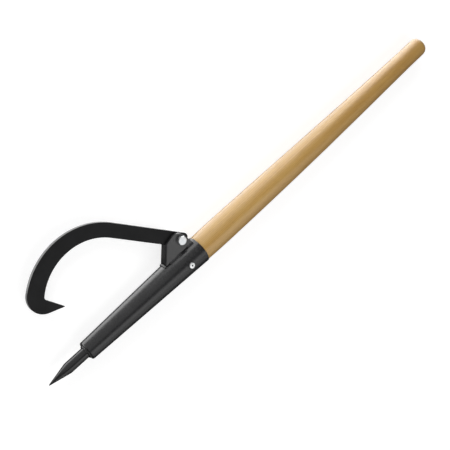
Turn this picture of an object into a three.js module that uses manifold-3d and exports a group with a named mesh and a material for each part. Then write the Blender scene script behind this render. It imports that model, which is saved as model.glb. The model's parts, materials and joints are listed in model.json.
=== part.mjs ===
// A peavey: a logger's lever with a hardwood handle in a tapered steel socket, a round spike at the nose
// and a flat hook that swings on a bolt in a bracket. It lies on its side. X runs along the tool from the
// spike to the handle's end, Y points to the hook's side and Z is square to the hook's plate.
// Places along the tool are measured from the socket's rim and are positive towards the handle.
import * as THREE from 'three';
import { mergeVertices } from 'three/addons/utils/BufferGeometryUtils.js';
import Module from 'manifold-3d';

// Fits, in millimetres
const seatGap = 0.3;
const boltHoleClearance = 0.4;
const cutOverrun = 2;

// Socket: a tapered steel tube, wide at the rim and narrow at the nose
const socketLength = 341.5;
const rimRadius = 32.5;
const noseRadius = 22.5;
const socketWall = 3.2;
const noseRound = 3.6;

// Spike: a round bar that is held in the socket's nose and ground to a cone
const spikeRadius = 12.7;
const spikeReach = 106.8;
const spikeConeLength = 53.5;
const spikeTipRadius = 1.6;
const spikeHeldLength = 72;
const spikeEndChamfer = 2;

// Bushing that fills the nose around the spike, and the weld that closes it
const bushingLength = 24;
const noseWeldLength = 4;
const noseWeldRadius = 17;
const noseWeldBulge = 0.8;

// Handle: turned hardwood with a tapered tenon in the socket and a shoulder at the rim
const handleLength = 770.7;
const bellyRadius = 31.75;
const gripRadius = 22.3;
const shoulderRadius = 31;
const shoulderChamfer = 1.6;
const buttRoundLength = 14;
const buttRoundDepth = 9;
// Room between the tenon's end and the spike's held end, inside the socket
const tenonToSpike = 33.5;
const tenonChamfer = 3;
// Each pair is a share of the handle's length and the share of the swell from grip to belly there.
const handleShares = [
  [0.065, 1],
  [0.165, 0.965],
  [0.32, 0.84],
  [0.5, 0.63],
  [0.6, 0.47],
  [0.72, 0.29],
  [0.83, 0.12],
];
const gripStartShare = 0.92;
// The wood isn't quite straight: behind this share of its length it bends a little to the hook's side.
const bowStartShare = 0.23;
const handleBow = 6.9;

// Pivot bolt's place, from the rim and from the tool's axis
const pivotBack = 28;
const pivotHeight = 54.8;

// Hook: one profile-cut plate, a straight shank and a bow that ends in a point
const hookThickness = 9.5;
const shankWidth = 32.6;
const shankAngle = THREE.MathUtils.degToRad(132.5);
const heelLength = 20.8;
const heelCornerRound = 10;
const shankToBack = 173.2;
const backRadius = 162.8;
const backSweep = THREE.MathUtils.degToRad(93.7);
const noseBendRadius = 40.1;
const noseBendSweep = THREE.MathUtils.degToRad(113.1);
const pointLength = 39.4;
const pointAngle = THREE.MathUtils.degToRad(37.3);
const pointTipRound = 1.2;
const shankToThroat = 168.7;
const throatRadius = 127.7;
const throatCornerRound = 8.2;

// Bracket: one plate bent to a U, its web towards the nose and its two cheeks beside the hook
const bracketPlate = 6.35;
const bracketBendRound = 3.5;
const cheekClearance = 1;
const webAngle = THREE.MathUtils.degToRad(54);
const webDistance = 37;
const crownRadius = 21.5;
const crownForward = 8.5;
const crownDrop = 0.5;
const rearFoot = 20.5;

// Weld beads that hold the bracket to the socket
const beadRise = 7.2;
const beadReach = 3.6;
const beadBulge = 0.7;
const frontBeadStart = 80;
const frontBeadEnd = 44;
const rearBeadStart = 25;
const rearBeadEnd = 8;
const footBeadLeg = 4;

// Pivot bolt with its washer and lock nut
const boltRadius = 6.35;
const boltLength = 44.5;
const boltTipChamfer = 1.2;
const hexAcrossFlats = 19.05;
const boltHeadHeight = 8;
const hexCornerChamfer = 0.9;
const washerRadius = 13.5;
const washerThickness = 2.4;
const nutHexHeight = 9.8;
const nutCollarHeight = 4.6;
const nutCollarRadius = 8.7;
const nutInsertRadius = 7.7;
const nutInsertThickness = 2.6;

// Screw that holds the handle in the socket
const screwBack = 45.5;
const screwHeadRadius = 6.6;
const screwHeadHeight = 4.2;
const screwHeadEdge = 3.4;
const screwRadius = 3.9;
const screwLength = 30;
const screwPointLength = 6;
const driveAcrossFlats = 4;
const driveDepth = 3.4;

// Roundness of the turned pieces and of the arcs
const roundSides = 64;
const smallSides = 32;
const arcStep = THREE.MathUtils.degToRad(2.5);
const smallArcStep = THREE.MathUtils.degToRad(15);
const handleRings = 22;

const noseX = -socketLength;
const tipX = noseX - spikeReach;
const pivot = new THREE.Vector2(-pivotBack, pivotHeight);
const boreRadius = boltRadius + boltHoleClearance;
const cheekInner = hookThickness / 2 + cheekClearance;
const cheekOuter = cheekInner + bracketPlate;
const quarter = Math.PI / 2;

const wasm = await Module();
wasm.setup();

// Colours and finishes
const blackPaint = { color: 0x2b2b2c, roughness: 0.45, metalness: 0.1 };
const hookPaint = { color: 0x1f1f20, roughness: 0.5, metalness: 0.1 };
const zinc = { color: 0xd9dadb, roughness: 0.3, metalness: 0.9 };
const steel = { color: 0x77797b, roughness: 0.5, metalness: 0.8 };
const hardwood = { color: 0xd6b57c, roughness: 0.55, metalness: 0 };
const nylon = { color: 0xe8e6dd, roughness: 0.6, metalness: 0 };

function piece(name, geometry, finish) {
  const mesh = new THREE.Mesh(geometry, new THREE.MeshStandardMaterial(finish));
  mesh.name = name;
  return mesh;
}

// Radius of the socket's outside at a place along the tool.
function socketRadius(x) {
  return rimRadius + ((rimRadius - noseRadius) / socketLength) * x;
}

// Points of an arc from one angle to another, both ends included.
function arc(centre, radius, from, to, step = arcStep) {
  const count = Math.max(1, Math.round(Math.abs(to - from) / step));
  const points = [];
  for (let i = 0; i <= count; i += 1) {
    const angle = from + ((to - from) * i) / count;
    points.push(pointAt(centre, radius, angle));
  }
  return points;
}

function pointAt(centre, distance, angle) {
  return new THREE.Vector2(centre.x + distance * Math.cos(angle), centre.y + distance * Math.sin(angle));
}

// The same direction as an angle, written so that a turn to the left, or to the right, leads to it.
function leftTo(from, angle) {
  return from + THREE.MathUtils.euclideanModulo(angle - from, 2 * Math.PI);
}

function rightTo(from, angle) {
  return from - THREE.MathUtils.euclideanModulo(from - angle, 2 * Math.PI);
}

// Where two lines cross, each given by a point and an angle.
function crossing(a, angleA, b, angleB) {
  const between = Math.sin(angleB - angleA);
  const along = ((b.x - a.x) * Math.sin(angleB) - (b.y - a.y) * Math.cos(angleB)) / between;
  return pointAt(a, along, angleA);
}

// A shape turned around the tool's axis. Each profile point is a place along the axis and a radius, and the
// profile runs so that its outside goes towards the handle.
function turned(profile, sides = roundSides) {
  const points = profile.map(([x, radius]) => new THREE.Vector2(radius, x));
  return new THREE.LatheGeometry(points, sides).rotateZ(-quarter);
}

// The same around the Z axis: each point is a height and a radius.
function turnedUpright(profile, sides = smallSides) {
  const points = profile.map(([height, radius]) => new THREE.Vector2(radius, height));
  return new THREE.LatheGeometry(points, sides).rotateX(quarter);
}

// A plate in the hook's plane, from one height to another.
function plate(points, low, high, hole) {
  const shape = new THREE.Shape(points);
  if (hole) {
    shape.holes.push(new THREE.Path(hole));
  }
  return new THREE.ExtrudeGeometry(shape, { depth: high - low, bevelEnabled: false }).translate(0, 0, low);
}

// How far a hexagon's corners lie from its middle.
function hexCorner(acrossFlats) {
  return acrossFlats / 2 / Math.cos(Math.PI / 6);
}

// A hexagonal bar around the Z axis with two corners on the Y axis.
function hexBar(acrossFlats, low, high) {
  const fullTurn = quarter + 2 * Math.PI;
  const corners = arc(new THREE.Vector2(), hexCorner(acrossFlats), quarter, fullTurn, Math.PI / 3).slice(1);
  return plate(corners, low, high);
}

function rod(radius, low, high, sides = smallSides) {
  return turnedUpright([[low, 0], [low, radius], [high, radius], [high, 0]], sides);
}

// A solid that can be cut: shared vertices merged and collapsed triangles left out.
function solid(geometry) {
  const bare = geometry.clone();
  bare.deleteAttribute('normal');
  bare.deleteAttribute('uv');
  const merged = mergeVertices(bare);
  const corners = merged.index.array;
  const kept = [];
  for (let i = 0; i < corners.length; i += 3) {
    const [a, b, c] = [corners[i], corners[i + 1], corners[i + 2]];
    if (a !== b && b !== c && c !== a) {
      kept.push(a, b, c);
    }
  }
  const mesh = new wasm.Mesh({
    numProp: 3,
    vertProperties: new Float32Array(merged.attributes.position.array),
    triVerts: new Uint32Array(kept),
  });
  return new wasm.Manifold(mesh);
}

function fromSolid(cutSolid) {
  const mesh = cutSolid.getMesh();
  const geometry = new THREE.BufferGeometry();
  geometry.setAttribute('position', new THREE.BufferAttribute(new Float32Array(mesh.vertProperties), 3));
  geometry.setIndex(new THREE.BufferAttribute(new Uint32Array(mesh.triVerts), 1));
  geometry.computeVertexNormals();
  return geometry;
}

// The outside of the socket with a gap around it, for trimming what is welded on.
function socketEnvelope() {
  const from = noseX - cutOverrun;
  const to = cutOverrun;
  return solid(turned([
    [from, 0],
    [from, socketRadius(from) + seatGap],
    [to, socketRadius(to) + seatGap],
    [to, 0],
  ]));
}

function screwSeat() {
  return new THREE.Vector3(-screwBack, 0, socketRadius(-screwBack) + seatGap);
}

function screwHole() {
  const seat = screwSeat();
  const depth = screwLength + cutOverrun;
  return solid(rod(screwRadius + seatGap, -depth, cutOverrun).translate(seat.x, seat.y, seat.z));
}

function socketTube() {
  const innerRim = rimRadius - socketWall;
  const innerNose = noseRadius - socketWall;
  const roundCentre = new THREE.Vector2(noseX + noseRound, noseRadius - noseRound);
  const round = arc(roundCentre, noseRound, Math.PI, quarter, smallArcStep);
  const profile = [
    [noseX, innerNose],
    ...round.map((p) => [p.x, p.y]),
    [0, rimRadius],
    [0, innerRim],
    [noseX, innerNose],
  ];
  return piece('socket_tube', fromSolid(solid(turned(profile)).subtract(screwHole())), blackPaint);
}

function noseBushing() {
  const inside = spikeRadius + seatGap;
  const innerAt = (x) => socketRadius(x) - socketWall - seatGap;
  const end = noseX + bushingLength;
  const profile = [
    [noseX, inside],
    [noseX, innerAt(noseX)],
    [end, innerAt(end)],
    [end, inside],
    [noseX, inside],
  ];
  return piece('nose_bushing', turned(profile), steel);
}

function spike() {
  const coneEnd = tipX + spikeConeLength;
  const slope = Math.atan2(spikeRadius, spikeConeLength);
  const tipCentre = new THREE.Vector2(tipX + spikeTipRadius, 0);
  const tip = arc(tipCentre, spikeTipRadius, Math.PI, quarter + slope, smallArcStep);
  const end = noseX + spikeHeldLength;
  const profile = [
    [tipX, 0],
    ...tip.slice(1).map((p) => [p.x, p.y]),
    [coneEnd, spikeRadius],
    [end - spikeEndChamfer, spikeRadius],
    [end, spikeRadius - spikeEndChamfer],
    [end, 0],
  ];
  return piece('spike', turned(profile), blackPaint);
}

function spikeWeld() {
  const inside = spikeRadius + seatGap;
  const base = noseX - seatGap;
  const top = noseX - noseWeldLength;
  const middle = (base + top) / 2;
  const middleRadius = (inside + noseWeldRadius) / 2 + noseWeldBulge;
  const lip = inside + seatGap;
  const profile = [
    [top, inside],
    [top, lip],
    [middle, middleRadius],
    [base, noseWeldRadius],
    [base, inside],
    [top, inside],
  ];
  return piece('spike_weld', turned(profile), blackPaint);
}

// Moves each place of the turned handle sideways, the more the nearer it is to the butt.
function bowed(geometry) {
  const start = bowStartShare * handleLength;
  const places = geometry.attributes.position;
  for (let i = 0; i < places.count; i += 1) {
    const beyond = Math.max(0, (places.getX(i) - start) / (handleLength - start));
    places.setY(i, places.getY(i) + handleBow * beyond ** 2);
  }
  return geometry;
}

function handle() {
  const tenonAt = (x) => socketRadius(x) - socketWall - seatGap;
  const tenonEnd = noseX + spikeHeldLength + tenonToSpike;
  const swell = bellyRadius - gripRadius;
  const stations = handleShares.map(([along, full]) => [along * handleLength, gripRadius + full * swell]);
  const outline = [
    new THREE.Vector2(seatGap + shoulderChamfer, shoulderRadius),
    ...stations.map(([x, radius]) => new THREE.Vector2(x, radius)),
    new THREE.Vector2(gripStartShare * handleLength, gripRadius),
  ];
  const taper = new THREE.SplineCurve(outline).getPoints(handleRings);
  const buttCentre = new THREE.Vector2(handleLength - buttRoundLength, gripRadius - buttRoundDepth);
  const butt = arc(new THREE.Vector2(), 1, quarter, 0, smallArcStep);
  const profile = [
    [tenonEnd, 0],
    [tenonEnd, tenonAt(tenonEnd) - tenonChamfer],
    [tenonEnd + tenonChamfer, tenonAt(tenonEnd + tenonChamfer)],
    [seatGap, tenonAt(0)],
    [seatGap, shoulderRadius - shoulderChamfer],
    ...taper.map((p) => [p.x, p.y]),
    ...butt.map((p) => [buttCentre.x + buttRoundLength * p.x, buttCentre.y + buttRoundDepth * p.y]),
    [handleLength, 0],
  ];
  return piece('handle', fromSolid(solid(bowed(turned(profile))).subtract(screwHole())), hardwood);
}

// The hook's outline in its own plane: the pivot is the origin, the shank runs along +X and the point
// curls round on the +Y side.
function hookOutline() {
  const half = shankWidth / 2;
  const backCentre = new THREE.Vector2(shankToBack, backRadius - half);
  const backEnd = backSweep - quarter;
  const bendCentre = pointAt(backCentre, backRadius - noseBendRadius, backEnd);
  const bendEnd = backEnd + noseBendSweep;
  const pointBase = pointAt(bendCentre, noseBendRadius, bendEnd);
  const pointDirection = bendEnd + quarter;
  const tip = pointAt(pointBase, pointLength, pointDirection);
  const innerDirection = pointDirection + Math.PI - pointAngle;

  // The point's end is a small round that touches both of its edges.
  const tipInset = pointTipRound / Math.sin(pointAngle / 2);
  const tipCentre = pointAt(tip, tipInset, innerDirection + pointAngle / 2);
  const tipStart = pointDirection - quarter;
  const tipEnd = leftTo(tipStart, innerDirection - quarter);
  const tipRound = arc(tipCentre, pointTipRound, tipStart, tipEnd, smallArcStep);

  // The throat's corner round touches the point's inner edge and the throat's arc from inside.
  const throatCentre = new THREE.Vector2(shankToThroat, half + throatRadius);
  const offset = pointAt(tip, throatCornerRound, innerDirection - quarter);
  const fromCentre = offset.clone().sub(throatCentre);
  const direction = pointAt(new THREE.Vector2(), 1, innerDirection);
  const along = fromCentre.dot(direction);
  const reach = throatRadius - throatCornerRound;
  const travel = -along + Math.sqrt(along * along - fromCentre.lengthSq() + reach * reach);
  const cornerCentre = pointAt(offset, travel, innerDirection);
  const cornerStart = innerDirection + quarter;
  const throatEnd = rightTo(cornerStart, cornerCentre.clone().sub(throatCentre).angle());
  const corner = arc(cornerCentre, throatCornerRound, cornerStart, throatEnd, smallArcStep);

  const heelInner = new THREE.Vector2(heelCornerRound - heelLength, half - heelCornerRound);
  const heelOuter = new THREE.Vector2(heelInner.x, -heelInner.y);
  return [
    ...arc(heelInner, heelCornerRound, quarter, Math.PI, smallArcStep),
    ...arc(heelOuter, heelCornerRound, Math.PI, Math.PI + quarter, smallArcStep),
    ...arc(backCentre, backRadius, -quarter, backEnd),
    ...arc(bendCentre, noseBendRadius, backEnd, bendEnd, smallArcStep / 2).slice(1),
    ...tipRound,
    ...corner,
    ...arc(throatCentre, throatRadius, throatEnd, rightTo(throatEnd, -quarter)).slice(1),
  ];
}

function hook() {
  const hole = arc(new THREE.Vector2(), boreRadius, 0, 2 * Math.PI, (2 * Math.PI) / smallSides).slice(1);
  const half = hookThickness / 2;
  const mesh = piece('hook', plate(hookOutline(), -half, half, hole), hookPaint);
  mesh.rotation.z = shankAngle;
  mesh.position.set(pivot.x, pivot.y, 0);
  return mesh;
}

// The highest place of the hook's back above the tool's axis, when the hook is closed.
function hookTop() {
  const back = new THREE.Vector2(shankToBack, backRadius - shankWidth / 2);
  return pivot.y + back.rotateAround(new THREE.Vector2(), shankAngle).y + backRadius;
}

// Main lines of the bracket in the hook's plane
const socketSlope = Math.atan2(rimRadius - noseRadius, socketLength);
const bracketFloor = new THREE.Vector2(0, rimRadius + seatGap);
const webOuterPoint = pointAt(pivot, webDistance, webAngle + quarter);
const webInnerPoint = pointAt(pivot, webDistance - bracketPlate, webAngle + quarter);
const stopPoint = pointAt(pivot, shankWidth / 2 + seatGap, shankAngle + quarter);
const webFoot = crossing(webOuterPoint, webAngle, bracketFloor, socketSlope);
const webTop = crossing(webOuterPoint, webAngle, stopPoint, shankAngle);

// The angle at which a line from a point touches a circle, on its left or its right side.
function touchAngle(point, centre, radius, side) {
  const toCentre = centre.clone().sub(point);
  return toCentre.angle() + side * Math.asin(radius / toCentre.length());
}

function bracketOutline() {
  const crown = new THREE.Vector2(pivot.x - crownForward, pivot.y - crownDrop);
  const rear = crossing(new THREE.Vector2(pivot.x + rearFoot, 0), quarter, bracketFloor, socketSlope);
  const rearTouch = touchAngle(rear, crown, crownRadius, -1) - quarter;
  const frontTouch = leftTo(rearTouch, touchAngle(webTop, crown, crownRadius, 1) + quarter);
  return [webFoot, rear, ...arc(crown, crownRadius, rearTouch, frontTouch, smallArcStep), webTop];
}

// Room for the bracket seen along its web: everything behind the web's outer face, with the two bends round.
function bracketEnvelope() {
  const far = 3 * webDistance;
  const nearBend = new THREE.Vector2(bracketBendRound, cheekOuter - bracketBendRound);
  const farBend = new THREE.Vector2(nearBend.x, -nearBend.y);
  const section = [
    new THREE.Vector2(far, -cheekOuter),
    new THREE.Vector2(far, cheekOuter),
    ...arc(nearBend, bracketBendRound, quarter, Math.PI, smallArcStep),
    ...arc(farBend, bracketBendRound, Math.PI, Math.PI + quarter, smallArcStep),
  ];
  const behind = new THREE.Vector3(Math.sin(webAngle), -Math.cos(webAngle), 0);
  const down = new THREE.Vector3(0, 0, -1);
  const along = new THREE.Vector3(Math.cos(webAngle), Math.sin(webAngle), 0);
  const place = new THREE.Matrix4().makeBasis(behind, down, along);
  place.setPosition(webOuterPoint.x, webOuterPoint.y, 0);
  return solid(plate(section, -far, far).applyMatrix4(place));
}

function bracket() {
  const body = solid(plate(bracketOutline(), -cheekOuter, cheekOuter)).intersect(bracketEnvelope());
  const far = 3 * webDistance;
  const corner = crossing(webInnerPoint, webAngle, stopPoint, shankAngle);
  const slotOutline = [
    pointAt(corner, -far, webAngle),
    pointAt(corner, 2 * far, 0),
    pointAt(corner, 2 * far, shankAngle - quarter),
    pointAt(corner, 2 * far, shankAngle),
    corner,
  ];
  const slot = solid(plate(slotOutline, -cheekInner, cheekInner));
  const boltReach = cheekOuter + cutOverrun;
  const bolt = solid(rod(boreRadius, -boltReach, boltReach).translate(pivot.x, pivot.y, 0));
  return piece('bracket', fromSolid(body.subtract(slot).subtract(bolt)), blackPaint);
}

// A bead along a cheek's foot, between two places behind the rim. It lies in the corner between the cheek's
// outer face and the socket. Side is 1 above the tool's axis and -1 below it.
function cheekBead(name, start, end, side) {
  const radius = socketRadius(-start);
  const low = radius - beadRise;
  const high = Math.sqrt(radius ** 2 - cheekOuter ** 2) + beadRise;
  const inner = cheekOuter + seatGap;
  const outer = inner + beadReach;
  const section = [
    [inner, low],
    [outer, low],
    [outer - beadReach / 2 + 2 * beadBulge, (low + high) / 2 + beadBulge],
    [outer - beadReach / 2, high - beadBulge],
    [inner, high],
  ];
  const points = section.map(([z, y]) => new THREE.Vector2(-side * z, y));
  const bar = plate(points, -start, -end).rotateY(quarter);
  return piece(name, fromSolid(solid(bar).subtract(socketEnvelope())), blackPaint);
}

// The bead across the web's foot, on the side of the nose.
function footBead() {
  const face = pointAt(webFoot, seatGap, webAngle + quarter);
  const high = pointAt(face, footBeadLeg, webAngle);
  const low = pointAt(face, -footBeadLeg, webAngle);
  const out = new THREE.Vector2(webFoot.x - footBeadLeg, webFoot.y);
  const under = new THREE.Vector2(webFoot.x - footBeadLeg, low.y);
  const bar = plate([high, out, under, low], -cheekOuter, cheekOuter);
  return piece('bracket_weld_foot', fromSolid(solid(bar).subtract(socketEnvelope())), blackPaint);
}

// A hexagonal head or nut with its corners turned off at one or both ends.
function hexagon(low, high, chamferLow, chamferHigh) {
  const cornerRadius = hexCorner(hexAcrossFlats);
  const flatRadius = hexAcrossFlats / 2;
  const profile = [
    [low, 0],
    [low, chamferLow ? flatRadius : cornerRadius + cutOverrun],
    ...(chamferLow ? [[low + hexCornerChamfer, cornerRadius + seatGap]] : []),
    ...(chamferHigh ? [[high - hexCornerChamfer, cornerRadius + seatGap]] : []),
    [high, chamferHigh ? flatRadius : cornerRadius + cutOverrun],
    [high, 0],
  ];
  const envelope = solid(turnedUpright(profile));
  return solid(hexBar(hexAcrossFlats, low - cutOverrun, high + cutOverrun)).intersect(envelope);
}

function atPivot(mesh, height) {
  mesh.position.set(pivot.x, pivot.y, height);
  return mesh;
}

function pivotBolt() {
  const profile = [
    [-boltLength, 0],
    [-boltLength, boltRadius - boltTipChamfer],
    [boltTipChamfer - boltLength, boltRadius],
    [boltHeadHeight / 2, boltRadius],
    [boltHeadHeight / 2, 0],
  ];
  const body = hexagon(0, boltHeadHeight, false, true).add(solid(turnedUpright(profile)));
  return atPivot(piece('pivot_bolt', fromSolid(body), zinc), cheekOuter + seatGap);
}

function washer() {
  const profile = [
    [0, boreRadius],
    [0, washerRadius],
    [washerThickness, washerRadius],
    [washerThickness, boreRadius],
    [0, boreRadius],
  ];
  return atPivot(piece('nut_washer', turnedUpright(profile), zinc), -cheekOuter - seatGap - washerThickness);
}

const nutTop = -cheekOuter - 2 * seatGap - washerThickness;

function lockNut() {
  const collarLow = -nutHexHeight - nutCollarHeight;
  const collar = solid(turnedUpright([
    [collarLow, 0],
    [collarLow, nutCollarRadius - hexCornerChamfer],
    [collarLow + hexCornerChamfer, nutCollarRadius],
    [-nutHexHeight / 2, nutCollarRadius],
    [-nutHexHeight / 2, 0],
  ]));
  const bore = solid(rod(boreRadius, collarLow - cutOverrun, cutOverrun));
  const seatDepth = nutInsertThickness + seatGap;
  const insertSeat = solid(rod(nutInsertRadius + seatGap, collarLow - cutOverrun, collarLow + seatDepth));
  const body = hexagon(-nutHexHeight, 0, true, true).add(collar).subtract(bore).subtract(insertSeat);
  return atPivot(piece('lock_nut', fromSolid(body), zinc), nutTop);
}

function nutInsert() {
  const low = -nutHexHeight - nutCollarHeight;
  const high = low + nutInsertThickness;
  const profile = [
    [low, boreRadius],
    [low, nutInsertRadius],
    [high, nutInsertRadius],
    [high, boreRadius],
    [low, boreRadius],
  ];
  return atPivot(piece('lock_nut_insert', turnedUpright(profile), nylon), nutTop);
}

function socketScrew() {
  const domeRise = screwHeadHeight - screwHeadEdge;
  const domeRadius = (screwHeadRadius ** 2 + domeRise ** 2) / (2 * domeRise);
  const domeCentre = new THREE.Vector2(0, screwHeadHeight - domeRadius);
  const domeStart = Math.asin((screwHeadEdge - domeCentre.y) / domeRadius);
  const dome = arc(domeCentre, domeRadius, domeStart, quarter, smallArcStep / 2);
  const pointStart = screwPointLength - screwLength;
  const profile = [
    [-screwLength, 0],
    [pointStart, screwRadius],
    [0, screwRadius],
    [0, screwHeadRadius],
    ...dome.map((p) => [p.y, p.x]),
  ];
  profile[profile.length - 1][1] = 0;
  const drive = solid(hexBar(driveAcrossFlats, screwHeadHeight - driveDepth, screwHeadHeight + cutOverrun));
  const mesh = piece('socket_screw', fromSolid(solid(turnedUpright(profile)).subtract(drive)), zinc);
  mesh.position.copy(screwSeat());
  return mesh;
}

const peavey = new THREE.Group();
peavey.name = 'peavey';
peavey.add(handle(), socketTube(), noseBushing(), spike(), spikeWeld());
peavey.add(bracket(), footBead());
for (const [sideName, side] of [['near', 1], ['far', -1]]) {
  peavey.add(cheekBead(`bracket_weld_${sideName}_front`, frontBeadStart, frontBeadEnd, side));
  peavey.add(cheekBead(`bracket_weld_${sideName}_rear`, rearBeadStart, rearBeadEnd, side));
}
peavey.add(hook(), pivotBolt(), washer(), lockNut(), nutInsert(), socketScrew());

// The origin is the middle of the tool's underside.
peavey.position.set(-(tipX + handleLength) / 2, -(hookTop() - rimRadius) / 2, rimRadius);

export default peavey;
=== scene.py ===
# %% [markdown]
# # The looks of a peavey
# A peavey is a logger's lever: a long hardwood handle in a tapered steel socket, a round spike at the
# nose, and a flat hook that swings on a bolt. Its solids are exact but bare. This notebook makes every
# piece but the hidden bushing again with soft edges, weld ripples, a thread and real surfaces, and sets
# up a studio and a camera to photograph it.
# The solids are loaded first, so each piece can be made where the tool already has it.

# %% Load the solids
import json
import math
import bpy
from mathutils import Matrix, Vector


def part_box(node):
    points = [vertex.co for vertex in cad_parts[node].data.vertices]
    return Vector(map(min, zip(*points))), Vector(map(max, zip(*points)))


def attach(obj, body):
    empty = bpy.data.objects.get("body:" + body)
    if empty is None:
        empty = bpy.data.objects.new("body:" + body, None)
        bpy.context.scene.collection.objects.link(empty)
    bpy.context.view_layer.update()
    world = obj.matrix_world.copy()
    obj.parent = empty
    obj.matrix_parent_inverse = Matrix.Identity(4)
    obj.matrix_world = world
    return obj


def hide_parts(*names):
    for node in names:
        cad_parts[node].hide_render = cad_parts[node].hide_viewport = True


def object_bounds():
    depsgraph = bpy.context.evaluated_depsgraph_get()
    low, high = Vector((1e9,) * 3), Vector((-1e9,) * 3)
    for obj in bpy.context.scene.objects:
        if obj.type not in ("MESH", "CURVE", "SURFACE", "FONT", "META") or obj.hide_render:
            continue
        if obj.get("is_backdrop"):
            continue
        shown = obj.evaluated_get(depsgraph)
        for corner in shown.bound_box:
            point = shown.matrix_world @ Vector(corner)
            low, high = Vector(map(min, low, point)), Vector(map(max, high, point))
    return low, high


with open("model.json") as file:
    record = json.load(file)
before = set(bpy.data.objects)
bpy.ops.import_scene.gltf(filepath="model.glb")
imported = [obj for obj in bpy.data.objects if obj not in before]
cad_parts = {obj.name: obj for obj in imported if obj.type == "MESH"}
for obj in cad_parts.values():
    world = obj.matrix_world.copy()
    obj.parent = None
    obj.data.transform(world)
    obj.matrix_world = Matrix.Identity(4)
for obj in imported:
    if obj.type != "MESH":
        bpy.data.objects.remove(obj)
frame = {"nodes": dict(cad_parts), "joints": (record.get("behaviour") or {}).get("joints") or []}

cad_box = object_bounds()
nodes = frame["nodes"]
print("solids:", len(nodes), "box:", [[round(v, 4) for v in corner] for corner in cad_box])

# %% [markdown]
# Drawings of tools are in millimetres and Blender works in metres, so every size below is written as a
# number of millimetres times `mm`. The tool's own landmarks come from the solids: the axis of the handle
# and the socket, the socket's rim, its nose, and the pivot that the hook swings on.

# %% Landmarks of the tool
mm = 0.001
tube_low, tube_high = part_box("socket_tube")
axis = Vector((0, (tube_low.y + tube_high.y) / 2, (tube_low.z + tube_high.z) / 2))
rim = Vector((tube_high.x, axis.y, axis.z))
nose = Vector((tube_low.x, axis.y, axis.z))
tip_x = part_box("spike")[0].x
pivot = Vector(frame["joints"][0]["pos_m"])
quarter = math.pi / 2
# Pieces that seat on each other lie this far apart.
seat_gap = 0.3 * mm
print("rim", [round(v / mm, 1) for v in rim], "pivot", [round(v / mm, 1) for v in pivot])

# %% [markdown]
# ## The camera
# The picture was taken with a long lens from above, so the tool looks almost undistorted. Two angles say
# how the line of sight leans from square on to the hook's plate, and a third says how the tool lies in
# the picture. With them and the distance, the camera's three directions are worked out with vectors.
# That is safer than turning a camera by hand, because each value can be corrected on its own.

# %% Place the camera
picture_pixels = 450
focal_pixels = 1150
sensor_width = 36
lean_along = math.radians(18.44)
lean_across = math.radians(30)
tool_angle = math.radians(42.31)
camera_distance = 2581 * mm
rim_pixel = (198.9, 249.1)

sight = Vector((
    math.sin(lean_along),
    -math.cos(lean_along) * math.sin(lean_across),
    -math.cos(lean_along) * math.cos(lean_across),
))
along_tool = (Vector((1, 0, 0)) - math.sin(lean_along) * sight).normalized()
across_tool = along_tool.cross(sight)
across_tool = across_tool if across_tool.y > 0 else -across_tool
right = math.cos(tool_angle) * along_tool - math.sin(tool_angle) * across_tool
up = math.sin(tool_angle) * along_tool + math.cos(tool_angle) * across_tool
half = picture_pixels / 2
to_rim = sight + (rim_pixel[0] - half) / focal_pixels * right - (rim_pixel[1] - half) / focal_pixels * up

camera_data = bpy.data.cameras.new("camera")
camera_data.sensor_fit = "HORIZONTAL"
camera_data.sensor_width = sensor_width
camera_data.lens = sensor_width * focal_pixels / picture_pixels
camera = bpy.data.objects.new("camera", camera_data)
bpy.context.scene.collection.objects.link(camera)
camera_turn = Matrix((right, up, -sight)).transposed().to_4x4()
camera.matrix_world = Matrix.Translation(rim - camera_distance * to_rim) @ camera_turn
bpy.context.scene.camera = camera
camera_place = [round(v, 3) for v in camera.matrix_world.translation]
print("lens", round(camera_data.lens, 1), "mm, camera at", camera_place)

# %% [markdown]
# ## Small helpers
# Operators work on whatever is selected, and the solids are still selected after loading. So every step
# starts by clearing the selection. In edit mode, faces or edges are picked in code by a test on their
# place or direction, which is what a hand would do with the mouse. A modifier is applied as soon as it
# is set, so that the next step works on the finished mesh.

# %% Helpers for selecting and editing
def only(piece):
    """Make one object the selected and active one, in object mode."""
    if bpy.context.object and bpy.context.object.mode != "OBJECT":
        bpy.ops.object.mode_set(mode="OBJECT")
    bpy.ops.object.select_all(action="DESELECT")
    if piece:
        piece.select_set(True)
        bpy.context.view_layer.objects.active = piece


def edit(piece, kind="FACE"):
    """Open a piece in edit mode with nothing selected."""
    only(piece)
    bpy.ops.object.mode_set(mode="EDIT")
    bpy.ops.mesh.select_mode(type=kind)
    bpy.ops.mesh.select_all(action="DESELECT")


def pick_faces(piece, test):
    """Open a piece with the faces selected whose middle and normal pass a test. Returns their number."""
    edit(piece)
    bpy.ops.object.mode_set(mode="OBJECT")
    for face in piece.data.polygons:
        face.select = bool(test(face.center, face.normal))
    found = sum(face.select for face in piece.data.polygons)
    bpy.ops.object.mode_set(mode="EDIT")
    return found


def pick_edges(piece, test):
    """Open a piece with the edges selected whose two ends pass a test. Returns their number."""
    edit(piece, "EDGE")
    bpy.ops.object.mode_set(mode="OBJECT")
    points = [v.co for v in piece.data.vertices]
    for line in piece.data.edges:
        line.select = bool(test(points[line.vertices[0]], points[line.vertices[1]]))
    found = sum(line.select for line in piece.data.edges)
    bpy.ops.object.mode_set(mode="EDIT")
    return found


def front_face(middle, normal):
    """A test for the faces that look towards the spike, within 25 degrees."""
    return normal.x < -math.cos(math.radians(25))


def end_face(middle, normal):
    """A test for the faces that look along the tool either way, within 25 degrees."""
    return abs(normal.x) > math.cos(math.radians(25))


def face_outwards():
    """In edit mode, turn every face outwards, and leave edit mode."""
    bpy.ops.mesh.select_all(action="SELECT")
    bpy.ops.mesh.normals_make_consistent(inside=False)
    bpy.ops.object.mode_set(mode="OBJECT")


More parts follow.
